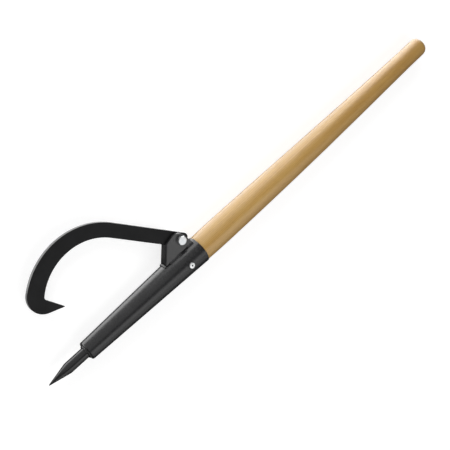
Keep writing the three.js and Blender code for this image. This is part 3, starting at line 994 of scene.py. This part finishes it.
# %% Model the socket's screw
screw_low, screw_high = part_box("socket_screw")
screw_middle = Vector(((screw_low.x + screw_high.x) / 2, (screw_low.y + screw_high.y) / 2, 0))
head_radius = 6.6 * mm
dome_rise = 0.8 * mm
head_edge = 3.4 * mm
head_round = 0.3 * mm
screw_radius = 3.9 * mm
point_rise = 6 * mm
head_sunk = 0.1 * mm
key_flats = 4 * mm
key_depth = 3.4 * mm
key_round = 0.12 * mm
dome_steps = 12
seat = screw_high.z - dome_rise - head_edge
dome_radius = (head_radius ** 2 + dome_rise ** 2) / (2 * dome_rise)
dome_middle = seat + head_edge + dome_rise - dome_radius
dome_angle = math.asin(head_radius / dome_radius)
head_under = seat - head_sunk
dome_turns = [dome_angle * (1 - i / dome_steps) for i in range(dome_steps + 1)]
screw = turn("socket_screw_domed", [
    (screw_low.z, 0),
    (screw_low.z + point_rise, screw_radius),
    (head_under, screw_radius),
    (head_under, head_radius - head_round),
    (seat + head_round, head_radius),
    *[(dome_middle + dome_radius * math.cos(a), dome_radius * math.sin(a)) for a in dome_turns],
], screw_middle, "Z")
key_corner = key_flats / 2 / math.cos(half_corner)
cut(screw, disc("key_hole", screw_middle, key_corner, screw_high.z - key_depth, screw_high.z + key_depth, 6))
soften(screw, key_round, 2, 50)
smooth(screw, 30)
print("screw:", triangles(screw), "triangles")

# %% [markdown]
# ## Materials
# A material is a small graph of nodes. To keep that readable, one function adds a node, sets its values
# and links its inputs. Colours are picked on screen as sRGB hex values, but light is added up in linear
# values, so one function turns the first into the second.

# %% Helpers for materials
def linear(hex_colour):
    """An sRGB hex colour as linear red, green and blue with alpha."""
    values = [int(hex_colour[i:i + 2], 16) / 255 for i in (1, 3, 5)]
    return (*[v / 12.92 if v <= 0.04045 else ((v + 0.055) / 1.055) ** 2.4 for v in values], 1)


def add(tree, kind, settings=None, inputs=None):
    """Add a node, set its settings, and give its inputs a value or link them to a socket."""
    made = tree.nodes.new(kind)
    for name, value in (settings or {}).items():
        setattr(made, name, value)
    for name, value in (inputs or {}).items():
        if isinstance(value, bpy.types.NodeSocket):
            tree.links.new(value, made.inputs[name])
        else:
            made.inputs[name].default_value = value
    return made


def new_material(name):
    """An empty material with its output and its coordinates on the object."""
    material = bpy.data.materials.new(name)
    material.use_nodes = True
    tree = material.node_tree
    tree.nodes.clear()
    place = add(tree, "ShaderNodeTexCoord").outputs["Object"]
    return material, tree, place


def ramp(tree, value, stops, interpolation="LINEAR"):
    """A colour ramp over a value, from (position, hex colour) stops."""
    made = add(tree, "ShaderNodeValToRGB", inputs={"Fac": value})
    made.color_ramp.interpolation = interpolation
    elements = made.color_ramp.elements
    while len(elements) < len(stops):
        elements.new(0.5)
    for element, (position, colour) in zip(elements, stops):
        element.position = position
        element.color = linear(colour)
    return made.outputs["Color"]


def cycles_in(feature):
    """A noise scale that makes features of about this size. One cell of the noise is one unit."""
    return 1 / feature


def waves_in(width):
    """A wave texture's scale that makes waves of this width. It counts 20 radians to one unit."""
    return 2 * math.pi / 20 / width


def dress(piece, material):
    """Put one material on a whole piece."""
    piece.data.materials.clear()
    piece.data.materials.append(material)


print("black of #1c1c1d is", [round(v, 4) for v in linear("#1c1c1d")])

# %% [markdown]
# ### Black enamel on the socket
# The socket, spike and bracket are sprayed with one coat of black enamel straight over the steel. Such
# paint is not pure black and not a mirror: it is a satin film about 0.05 mm thick, and its skin has
# orange peel, a soft waviness a few millimetres wide. It is also a shade greyer and rougher where dust
# settled before it dried. The IOR of paint resin is about 1.5. The spike was turned smooth, so the same
# coat is glossier on it; its copy is also given a darker colour, as painted shade. The bracket's copy is
# a little lighter, as painted light. A piece can have a zone with its own shine, found by the distance
# from a plane in Object coordinates: on the bracket's web the shine is all but taken away, as painted
# shade.

# %% Make the black enamel
cloud_size = 45 * mm
streak_size = 14 * mm
dust_size = 0.9 * mm
dust_height = 0.03 * mm
dust_share = 0.35
peel_size = 2.6 * mm
peel_height = 0.12 * mm


def enamel(name, dark, light, rough_low, rough_high, shine=0.5, zone=None):
    """Black paint between two shades and two roughnesses.

    A zone is (point, normal, near, far, shine near the plane, shine away from it).
    """
    material, tree, place = new_material(name)
    cloud = add(tree, "ShaderNodeTexNoise", inputs={
        "Vector": place, "Scale": cycles_in(cloud_size), "Detail": 4, "Roughness": 0.6}).outputs["Fac"]
    colour = ramp(tree, cloud, [(0.35, dark), (0.65, light)])
    dust = add(tree, "ShaderNodeTexNoise", inputs={
        "Vector": place, "Scale": cycles_in(dust_size), "Detail": 3, "Roughness": 0.7}).outputs["Fac"]
    streak = add(tree, "ShaderNodeTexNoise", inputs={
        "Vector": place, "Scale": cycles_in(streak_size), "Detail": 5, "Roughness": 0.65}).outputs["Fac"]
    both = add(tree, "ShaderNodeMath", {"operation": "MULTIPLY_ADD"}, {
        0: dust, 1: dust_share, 2: streak}).outputs["Value"]
    rough = add(tree, "ShaderNodeMapRange", inputs={
        "Value": both, "From Min": 0.45, "From Max": 0.9,
        "To Min": rough_low, "To Max": rough_high}).outputs["Result"]
    waves = add(tree, "ShaderNodeTexNoise", inputs={
        "Vector": place, "Scale": cycles_in(peel_size), "Detail": 2, "Roughness": 0.5}).outputs["Fac"]
    peel_bump = add(tree, "ShaderNodeBump", inputs={
        "Height": waves, "Strength": 0.45, "Distance": peel_height}).outputs["Normal"]
    fine_bump = add(tree, "ShaderNodeBump", inputs={
        "Height": dust, "Strength": 0.25, "Distance": dust_height, "Normal": peel_bump}).outputs["Normal"]
    if zone:
        point, normal, near, far_off, shine_near, shine_far = zone
        beside = add(tree, "ShaderNodeVectorMath", {"operation": "SUBTRACT"}, {
            0: place, 1: point}).outputs["Vector"]
        off = add(tree, "ShaderNodeVectorMath", {"operation": "DOT_PRODUCT"}, {
            0: beside, 1: normal}).outputs["Value"]
        off = add(tree, "ShaderNodeMath", {"operation": "ABSOLUTE"}, {0: off}).outputs["Value"]
        shine = add(tree, "ShaderNodeMapRange", inputs={
            "Value": off, "From Min": near, "From Max": far_off, "To Min": shine_near,
            "To Max": shine_far}).outputs["Result"]
    shader = add(tree, "ShaderNodeBsdfPrincipled", inputs={
        "Base Color": colour, "Roughness": rough, "IOR": 1.5, "Specular IOR Level": shine,
        "Normal": fine_bump})
    add(tree, "ShaderNodeOutputMaterial", inputs={"Surface": shader.outputs["BSDF"]})
    return material


# The bracket's web loses its shine up to this depth below its face, as painted shade, and is as glossy as
# the rest beyond the next.
web_plane = Vector((*web_outer, pivot.z))
dull_depth = 0.4 * mm
glossy_depth = 1.2 * mm
web_painted_shade = (web_plane, behind, dull_depth, glossy_depth, 0.005, 0.62)
socket_enamel = enamel("black_enamel_satin", "#222223", "#282829", 0.22, 0.32)
# The spike's copy of the enamel is glossier, which is real, and darker, which is painted shade.
spike_enamel_painted_shade = enamel("black_enamel_on_smooth_bar_painted_shade", "#161617", "#1b1b1c", 0.16, 0.26)
# The bracket's copy of the enamel is lighter, as painted light, and its web carries painted shade.
bracket_enamel_painted_light_and_shade = enamel("black_enamel_painted_light_and_web_shade", "#272728", "#2e2e2f", 0.25, 0.35, zone=web_painted_shade)
print("made", socket_enamel.name, spike_enamel_painted_shade.name, "and", bracket_enamel_painted_light_and_shade.name)

# %% [markdown]
# ### Black enamel on the hook
# The hook is coated apart from the rest, before it is bolted on. Its coat is blacker and more matt, so
# its flat sides throw back less of the room. Its ground edges are smoother below the paint and shine.

# %% Make the hook's enamel
# Measured from the plate's middle: the ground edge ends here, and the flat side begins there.
edge_end = hook_half - 0.6 * mm
flat_start = hook_half - 0.2 * mm
dull_sides = (pivot, Vector((0, 0, 1)), edge_end, flat_start, 1.0, 0.18)
hook_enamel = enamel("black_enamel_matt", "#121213", "#171718", 0.4, 0.52, zone=dull_sides)
print("made", hook_enamel.name)

# %% [markdown]
# ### Ash wood
# The handle is a straight-grained hardwood such as ash, sanded and oiled. A tree grows a ring a year,
# and here the rings are 2 to 3 mm wide. The handle is split from the log well away from its middle, so
# the rings cross it as nearly flat sheets: stripes on two of its sides and long pointed arches on the
# others. Rings drawn round a far-off axis that leans a little give both at once, and the end shows their
# arcs. Pores are dark dashes along the grain, half a millimetre wide and one or two centimetres long.

# %% Make the ash wood
tree_aside = 70 * mm
tree_below = 22 * mm
tree_lean = (0, math.radians(0.9), math.radians(-0.7))
ring_width = 2.7 * mm
sway_size = 38 * mm
sway_height = 9 * mm
area_size = 15 * mm
fibre_size = 1.7 * mm
pore_size = 0.55 * mm
pore_depth = 0.08 * mm
ring_ridge = 0.05 * mm
# Along the grain, a pattern is squeezed to these shares, which draws it out.
sway_share = 0.055
area_share = 0.08
grain_share = 0.035


def ash_wood():
    material, tree, place = new_material("oiled_ash_wood")

    # The tree's middle lies to the side of the handle and leans over its length.
    centred = add(tree, "ShaderNodeMapping", {"vector_type": "POINT"}, {
        "Vector": place, "Location": (0, tree_aside - axis.y, -axis.z - tree_below),
        "Rotation": tree_lean}).outputs["Vector"]
    sway = add(tree, "ShaderNodeMapping", inputs={
        "Vector": centred, "Scale": (sway_share, 1, 1)}).outputs["Vector"]
    wander = add(tree, "ShaderNodeTexNoise", inputs={
        "Vector": sway, "Scale": cycles_in(sway_size), "Detail": 2, "Roughness": 0.45}).outputs["Color"]
    wander = add(tree, "ShaderNodeVectorMath", {"operation": "MULTIPLY_ADD"}, {
        0: wander, 1: (0, sway_height, sway_height), 2: centred}).outputs["Vector"]
    rings = add(tree, "ShaderNodeTexWave", {
        "wave_type": "RINGS", "rings_direction": "X", "wave_profile": "SAW"}, {
        "Vector": wander, "Scale": waves_in(ring_width), "Distortion": 0.6, "Detail": 2,
        "Detail Scale": 0.6, "Detail Roughness": 0.6}).outputs["Fac"]
    ring_colour = ramp(tree, rings, [
        (0.0, "#d3ab61"), (0.45, "#cfa65a"), (0.8, "#c4974b"), (0.95, "#b5853c"), (1.0, "#ca9f54")])

    # Broad light and dark areas along the handle.
    slow = add(tree, "ShaderNodeMapping", inputs={
        "Vector": centred, "Scale": (area_share, 1, 1)}).outputs["Vector"]
    areas = add(tree, "ShaderNodeTexNoise", inputs={
        "Vector": slow, "Scale": cycles_in(area_size), "Detail": 3, "Roughness": 0.55}).outputs["Fac"]
    area_colour = ramp(tree, areas, [(0.36, "#c0954c"), (0.7, "#d9b56b")])
    mixed = add(tree, "ShaderNodeMix", {"data_type": "RGBA", "blend_type": "MIX"}, {
        "Factor": 0.45, "A": ring_colour, "B": area_colour}).outputs["Result"]

    # The wood is made paler at the belly and darker towards the grip.
    along = add(tree, "ShaderNodeSeparateXYZ", inputs={"Vector": place}).outputs["X"]
    towards_grip = add(tree, "ShaderNodeMapRange", {"interpolation_type": "SMOOTHSTEP"}, {
        "Value": along, "From Min": rim.x, "From Max": rim.x + handle_length}).outputs["Result"]
    shade = ramp(tree, towards_grip, [(0.0, "#fffffa"), (0.5, "#f9f7f2"), (1.0, "#efebe2")])
    mixed = add(tree, "ShaderNodeMix", {"data_type": "RGBA", "blend_type": "MULTIPLY"}, {
        "Factor": 1.0, "A": mixed, "B": shade}).outputs["Result"]

    # Pores: dashes along the grain, denser in the light early wood.
    long_grain = add(tree, "ShaderNodeMapping", inputs={
        "Vector": wander, "Scale": (grain_share, 1, 1)}).outputs["Vector"]
    pore_noise = add(tree, "ShaderNodeTexNoise", inputs={
        "Vector": long_grain, "Scale": cycles_in(pore_size), "Detail": 3, "Roughness": 0.6}).outputs["Fac"]
    pores = add(tree, "ShaderNodeMapRange", {"interpolation_type": "SMOOTHSTEP"}, {
        "Value": pore_noise, "From Min": 0.56, "From Max": 0.72}).outputs["Result"]
    fibre_noise = add(tree, "ShaderNodeTexNoise", inputs={
        "Vector": long_grain, "Scale": cycles_in(fibre_size), "Detail": 4, "Roughness": 0.7}).outputs["Fac"]
    fibres = add(tree, "ShaderNodeMapRange", inputs={
        "Value": fibre_noise, "From Min": 0.3, "From Max": 0.7}).outputs["Result"]
    fibre_colour = ramp(tree, fibres, [(0.0, "#e2d2b8"), (1.0, "#fffdf8")])
    fibred = add(tree, "ShaderNodeMix", {"data_type": "RGBA", "blend_type": "MULTIPLY"}, {
        "Factor": 0.5, "A": mixed, "B": fibre_colour}).outputs["Result"]
    pore_share = add(tree, "ShaderNodeMath", {"operation": "MULTIPLY"}, {0: pores, 1: 0.5}).outputs["Value"]
    colour = add(tree, "ShaderNodeMix", {"data_type": "RGBA", "blend_type": "MIX"}, {
        "Factor": pore_share, "A": fibred, "B": linear("#8e652c")}).outputs["Result"]

    rough = add(tree, "ShaderNodeMapRange", inputs={
        "Value": fibre_noise, "From Min": 0.3, "From Max": 0.7,
        "To Min": 0.5, "To Max": 0.4}).outputs["Result"]
    dip = add(tree, "ShaderNodeBump", {"invert": True}, {
        "Height": pores, "Strength": 0.5, "Distance": pore_depth}).outputs["Normal"]
    ridge = add(tree, "ShaderNodeBump", inputs={
        "Height": rings, "Strength": 0.25, "Distance": ring_ridge, "Normal": dip}).outputs["Normal"]
    shader = add(tree, "ShaderNodeBsdfPrincipled", inputs={
        "Base Color": colour, "Roughness": rough, "IOR": 1.5, "Coat Weight": 0.8,
        "Coat Roughness": 0.3, "Normal": ridge})
    add(tree, "ShaderNodeOutputMaterial", inputs={"Surface": shader.outputs["BSDF"]})
    return material


wood = ash_wood()
print("made", wood.name)

# %% [markdown]
# ### Bright zinc
# The bolt, washer, nut and screw are steel with a clear zinc plating a few thousandths of a millimetre
# thick. Zinc is a pale, faintly blue metal. The plating copies the tool marks below it, so the surface
# is a fine satin with tiny spangles, and not a mirror.

# %% Make the bright zinc
grit_size = 0.5 * mm
grit_height = 0.02 * mm
bloom_size = 5 * mm
# As shares of the key hole's radius: painted shade reaches this far, and the metal is bare beyond the next.
painted_shade_share = 0.95
bare_metal_share = 1.2


def bright_zinc(name, dark="#cdd0d3", light="#dbdcdc", shaded_centre=None):
    """Zinc plate. Round an upright line through a given place it is painted dark, as painted shade."""
    material, tree, place = new_material(name)
    grit = add(tree, "ShaderNodeTexNoise", inputs={
        "Vector": place, "Scale": cycles_in(grit_size), "Detail": 4, "Roughness": 0.65}).outputs["Fac"]
    bloom = add(tree, "ShaderNodeTexNoise", inputs={
        "Vector": place, "Scale": cycles_in(bloom_size), "Detail": 3, "Roughness": 0.5}).outputs["Fac"]
    colour = ramp(tree, bloom, [(0.35, dark), (0.65, light)])
    metal = 1.0
    # Round the key hole the zinc is painted dark, as painted shade.
    if shaded_centre:
        beside = add(tree, "ShaderNodeVectorMath", {"operation": "MULTIPLY_ADD"}, {
            0: place, 1: (1, 1, 0), 2: (-shaded_centre.x, -shaded_centre.y, 0)}).outputs["Vector"]
        off = add(tree, "ShaderNodeVectorMath", {"operation": "LENGTH"}, {0: beside}).outputs["Value"]
        metal = add(tree, "ShaderNodeMapRange", inputs={
            "Value": off, "From Min": painted_shade_share * key_flats / 2,
            "From Max": bare_metal_share * key_flats / 2}).outputs["Result"]
        colour = add(tree, "ShaderNodeMix", {"data_type": "RGBA"}, {
            "Factor": metal, "A": linear("#262524"), "B": colour}).outputs["Result"]
    rough = add(tree, "ShaderNodeMapRange", inputs={
        "Value": grit, "From Min": 0.3, "From Max": 0.7,
        "To Min": 0.26, "To Max": 0.42}).outputs["Result"]
    marks = add(tree, "ShaderNodeBump", inputs={
        "Height": grit, "Strength": 0.3, "Distance": grit_height}).outputs["Normal"]
    shader = add(tree, "ShaderNodeBsdfPrincipled", inputs={
        "Base Color": colour, "Metallic": metal, "Roughness": rough, "Normal": marks})
    add(tree, "ShaderNodeOutputMaterial", inputs={"Surface": shader.outputs["BSDF"]})
    return material


zinc = bright_zinc("bright_zinc_plate")
# The screw's copy of the zinc is lighter than the bolt's, as painted light, with painted shade round its key
# hole.
screw_zinc_painted_light_and_shade = bright_zinc("bright_zinc_painted_light_and_hole_shade", "#e9ebec", "#f2f2f2", shaded_centre=screw_middle)
print("made", zinc.name, "and", screw_zinc_painted_light_and_shade.name)

# %% [markdown]
# ### Nylon and bare steel
# The nut's ring is moulded nylon in its natural milky white, which takes a soft gloss from the mould.
# The bushing inside the nose is plain turned steel that nobody sees once the nose is welded.

# %% Make the nylon and the bare steel
mould_grain = 0.7 * mm
mould_height = 0.02 * mm
tool_mark_width = 0.4 * mm
tool_mark_height = 0.03 * mm
stain_size = 6 * mm


def nylon_plastic():
    material, tree, place = new_material("natural_nylon")
    grain = add(tree, "ShaderNodeTexNoise", inputs={
        "Vector": place, "Scale": cycles_in(mould_grain), "Detail": 2}).outputs["Fac"]
    colour = ramp(tree, grain, [(0.3, "#e3dfd2"), (0.7, "#eeebe0")])
    bump = add(tree, "ShaderNodeBump", inputs={
        "Height": grain, "Strength": 0.15, "Distance": mould_height}).outputs["Normal"]
    shader = add(tree, "ShaderNodeBsdfPrincipled", inputs={
        "Base Color": colour, "Roughness": 0.45, "IOR": 1.53, "Normal": bump})
    add(tree, "ShaderNodeOutputMaterial", inputs={"Surface": shader.outputs["BSDF"]})
    return material


def turned_steel():
    material, tree, place = new_material("turned_steel")
    tool_marks = add(tree, "ShaderNodeTexWave", {"wave_type": "BANDS", "bands_direction": "X"}, {
        "Vector": place, "Scale": waves_in(tool_mark_width), "Distortion": 0.5}).outputs["Fac"]
    stain = add(tree, "ShaderNodeTexNoise", inputs={
        "Vector": place, "Scale": cycles_in(stain_size), "Detail": 4}).outputs["Fac"]
    colour = ramp(tree, stain, [(0.35, "#8f8f90"), (0.65, "#a9a8a5")])
    bump = add(tree, "ShaderNodeBump", inputs={
        "Height": tool_marks, "Strength": 0.4, "Distance": tool_mark_height}).outputs["Normal"]
    shader = add(tree, "ShaderNodeBsdfPrincipled", inputs={
        "Base Color": colour, "Metallic": 1.0, "Roughness": 0.4, "Normal": bump})
    add(tree, "ShaderNodeOutputMaterial", inputs={"Surface": shader.outputs["BSDF"]})
    return material


nylon = nylon_plastic()
bare_steel = turned_steel()
print("made", nylon.name, "and", bare_steel.name)

# %% [markdown]
# ## Put the tool together
# Each piece gets its material, stands for its bare solid, and rides on the body it belongs to, so that
# the hook takes its own plate along when it swings. The bushing keeps its solid, which has the right
# shape already.

# %% Dress the pieces and hang them on the two bodies
pieces = [
    (shaft, wood, "hardwood", "lever", "handle"),
    (socket, socket_enamel, "socket_paint", "lever", "socket_tube"),
    (spike, spike_enamel_painted_shade, "socket_paint", "lever", "spike"),
    (nose_weld, socket_enamel, "socket_paint", "lever", "spike_weld"),
    (bracket, bracket_enamel_painted_light_and_shade, "socket_paint", "lever", "bracket"),
    (beads["bead_foot"], socket_enamel, "socket_paint", "lever", "bracket_weld_foot"),
    (beads["bead_near_front"], socket_enamel, "socket_paint", "lever", "bracket_weld_near_front"),
    (beads["bead_near_rear"], socket_enamel, "socket_paint", "lever", "bracket_weld_near_rear"),
    (beads["bead_far_front"], socket_enamel, "socket_paint", "lever", "bracket_weld_far_front"),
    (beads["bead_far_rear"], socket_enamel, "socket_paint", "lever", "bracket_weld_far_rear"),
    (bolt, zinc, "zinc", "lever", "pivot_bolt"),
    (washer, zinc, "zinc", "lever", "nut_washer"),
    (nut, zinc, "zinc", "lever", "lock_nut"),
    (insert_ring, nylon, "nylon", "lever", "lock_nut_insert"),
    (screw, screw_zinc_painted_light_and_shade, "zinc", "lever", "socket_screw"),
    (hook, hook_enamel, "hook_paint", "swinging_hook", "hook"),
]
for piece, material, slot_name, body, node in pieces:
    dress(piece, material)
    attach(piece, body)
    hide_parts(node)
dress(nodes["nose_bushing"], bare_steel)
print("dressed", len(pieces), "pieces,", sum(triangles(piece) for piece, *_ in pieces), "triangles in all")

# %% [markdown]
# ## The studio
# The tool lies on a white sweep, as in a catalogue. The sweep is lit about as strongly as the tool, and
# what the camera alone sees of it is lifted to white in its material, so its faint shadow stays and no
# extra light falls on the tool.

# %% Build the floor and the world
floor_size = 30
floor_height = -0.3 * mm

only(None)
bpy.ops.mesh.primitive_plane_add(size=floor_size, location=(0, 0, floor_height))
floor = bpy.context.object
floor.name = "floor"
floor_material, tree, place = new_material("white_sweep")
paper = add(tree, "ShaderNodeBsdfDiffuse", inputs={"Color": linear("#e6e6e6")})
pale = add(tree, "ShaderNodeBsdfDiffuse", inputs={"Color": linear("#b4b4b4")})
glow = add(tree, "ShaderNodeEmission", inputs={"Color": (1, 1, 1, 1), "Strength": 0.75})
both = add(tree, "ShaderNodeAddShader", inputs={0: pale.outputs["BSDF"], 1: glow.outputs["Emission"]})
seen = add(tree, "ShaderNodeLightPath").outputs["Is Camera Ray"]
mixed = add(tree, "ShaderNodeMixShader", inputs={
    0: seen, 1: paper.outputs["BSDF"], 2: both.outputs["Shader"]})
add(tree, "ShaderNodeOutputMaterial", inputs={"Surface": mixed.outputs["Shader"]})
dress(floor, floor_material)
floor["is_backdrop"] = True

world = bpy.context.scene.world or bpy.data.worlds.new("world")
bpy.context.scene.world = world
world.use_nodes = True
tree = world.node_tree
tree.nodes.clear()
path = add(tree, "ShaderNodeLightPath")
room = add(tree, "ShaderNodeBackground", inputs={"Color": (1, 1, 1, 1), "Strength": 0.16})
white = add(tree, "ShaderNodeBackground", inputs={"Color": (1, 1, 1, 1), "Strength": 1.0})
mixed = add(tree, "ShaderNodeMixShader", inputs={
    0: path.outputs["Is Camera Ray"], 1: room.outputs["Background"], 2: white.outputs["Background"]})
add(tree, "ShaderNodeOutputWorld", inputs={"Surface": mixed.outputs["Shader"]})
print("floor and world ready")

# %% [markdown]
# ### The lamps
# Four softboxes run along the tool. The key hangs 30 degrees up on the side of the hook and models the
# round handle, bright above and darker below. Black paint would mirror it, so it lights surfaces but
# isn't mirrored in them. The top box hangs a little behind the zenith, and the black enamel shows it as
# one long soft line. The back box and the front box are weak and fill both sides of that line. A lamp's
# strength is set by how bright its face is, which times its area and pi gives the watts.

# %% Hang the lamps
def softbox(name, elevation, distance, size, brightness, along=0.0):
    """A long area lamp above the tool's axis, at an angle from the hook's side over the top."""
    only(None)
    angle = math.radians(elevation)
    place = Vector((along, axis.y + distance * math.cos(angle), axis.z + distance * math.sin(angle)))
    look = (Vector((along, axis.y, axis.z)) - place).to_track_quat("-Z", "Y").to_euler()
    bpy.ops.object.light_add(type="AREA", location=place, rotation=look)
    lamp = bpy.context.object
    lamp.name = name
    lamp.data.shape = "RECTANGLE"
    lamp.data.size, lamp.data.size_y = size
    lamp.data.energy = brightness * math.pi * size[0] * size[1]
    return lamp


key = softbox("key_softbox", elevation=30, distance=2.2, size=(3.4, 0.8), brightness=2.9)
key.visible_glossy = False
softbox("top_softbox", elevation=119, distance=2.0, size=(3.0, 1.2), brightness=1.3, along=-0.35)
softbox("back_softbox", elevation=152, distance=2.2, size=(3.0, 1.2), brightness=0.6, along=-0.35)
softbox("front_softbox", elevation=48, distance=3.0, size=(3.2, 3.2), brightness=0.55, along=-0.3)

# %% [markdown]
# ### The cards
# Black paint shows mostly what it mirrors, so a photographer lays cards beside it. A white card on the
# hook's side draws the bright line along the socket's upper edge, and grey ones beyond it let that line
# fade. A black card on the other side keeps the lower edge dark, and one below the spike does so for the
# nose. The handle gets cards of its own for the sheen on its oiled wood, and a bent strip lights the
# hook's outer edge. The cards are seen only in mirror images, never by the camera, and give no diffuse
# light.

# %% Lay the cards
# A card that grows brighter does so from the handle's middle to this share of its length.
past_grip_share = 1.1
# Most cards reach this far either way along the tool, and lie just above the floor.
card_reach = 1.3
card_height = -0.15 * mm


def shining(made, brightness, at_grip=None):
    """Make a piece glow, seen in mirror images only. It can be brighter towards the grip."""
    material, tree, place = new_material(made.name)
    if at_grip:
        along = add(tree, "ShaderNodeSeparateXYZ", inputs={"Vector": place}).outputs["X"]
        brightness = add(tree, "ShaderNodeMapRange", inputs={
            "Value": along, "From Min": rim.x + handle_length / 2,
            "From Max": rim.x + past_grip_share * handle_length,
            "To Min": brightness, "To Max": at_grip}).outputs["Result"]
    glow = add(tree, "ShaderNodeEmission", inputs={"Color": (1, 1, 1, 1), "Strength": brightness})
    add(tree, "ShaderNodeOutputMaterial", inputs={"Surface": glow.outputs["Emission"]})
    dress(made, material)
    made.visible_camera = False
    made.visible_diffuse = False
    made.visible_shadow = False
    made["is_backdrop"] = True


def card(name, near, far, brightness, at_grip=None, standing=0,
         start=-card_reach, end=card_reach, height=card_height):
    """A strip beside the tool, between two distances from its axis, that lies on the floor or stands."""
    only(None)
    middle = ((start + end) / 2, axis.y + (near + far) / 2, height)
    bpy.ops.mesh.primitive_plane_add(size=1, location=middle)
    made = bpy.context.object
    made.name = name
    made.scale = (end - start, abs(far - near), 1)
    if standing:
        made.location.z = standing / 2
        made.scale.y = standing
        made.rotation_euler.x = quarter
    settle(made)
    shining(made, brightness, at_grip)


# Distances from the tool's axis, towards the hook's side.
white_near = 43 * mm
grey_near = 125 * mm
side_place = 1200 * mm
side_height = 450 * mm
black_near = -30 * mm
black_far = -900 * mm
# Places along the tool: where the wood's own cards take over, and where the nose's shade ends.
wood_start = rim.x + 30 * mm
shade_end = nose.x + 8 * mm
card("white_card", white_near, grey_near, brightness=4.3, end=wood_start)
card("grey_card", grey_near, side_place, brightness=1.15)
card("side_card", side_place, side_place, brightness=0.95, standing=side_height)
card("black_card", black_near, black_far, brightness=0.02)
card("nose_shade_card", black_near, white_near, brightness=0.02, end=shade_end)

# %% Lay the handle's cards and the hook's
handle_near = 36 * mm
handle_far = 700 * mm
handle_side_place = 1150 * mm
handle_side_height = 500 * mm
handle_side_start = rim.x + 420 * mm
# The floor card lies a hair above the grey one, which it overlaps.
handle_card_height = -0.05 * mm
card("handle_floor_card", handle_near, handle_far, brightness=3.5, at_grip=5,
     start=wood_start, height=handle_card_height)
card("handle_side_card", handle_side_place, handle_side_place, brightness=3, at_grip=4.6,
     standing=handle_side_height, start=handle_side_start)

# A bent strip outside the hook: along its back and its shank.
half_width = shank_width / 2
back_middle = (back_place, back_radius - half_width)
strip_near = 4 * mm
strip_far = 60 * mm
strip_low = -0.25 * mm
strip_high = -0.04 * mm
strip_inside = arc(back_middle, back_radius + strip_near, back_sweep - quarter, -quarter)
strip_inside += [(0, -half_width - strip_near)]
strip_outside = [(0, -half_width - strip_far)]
strip_outside += arc(back_middle, back_radius + strip_far, -quarter, back_sweep - quarter)
strip = at_pivot(strip_inside + strip_outside, shank_angle)
shining(plate("hook_card", strip, strip_low, strip_high), brightness=2.6)
print("cards laid")

# %% [markdown]
# ## Finish
# Colours are shown as written, without a film curve. The box of the dressed tool is compared with the
# box of the bare one, because the looks may not change the size.

# %% Check the size and finish
bpy.context.scene.view_settings.view_transform = "Standard"
only(None)
visual_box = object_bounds()
growth = [[round((v - c) / mm, 2) for v, c in zip(a, b)] for a, b in zip(visual_box, cad_box)]
print("grown by", growth, "mm")
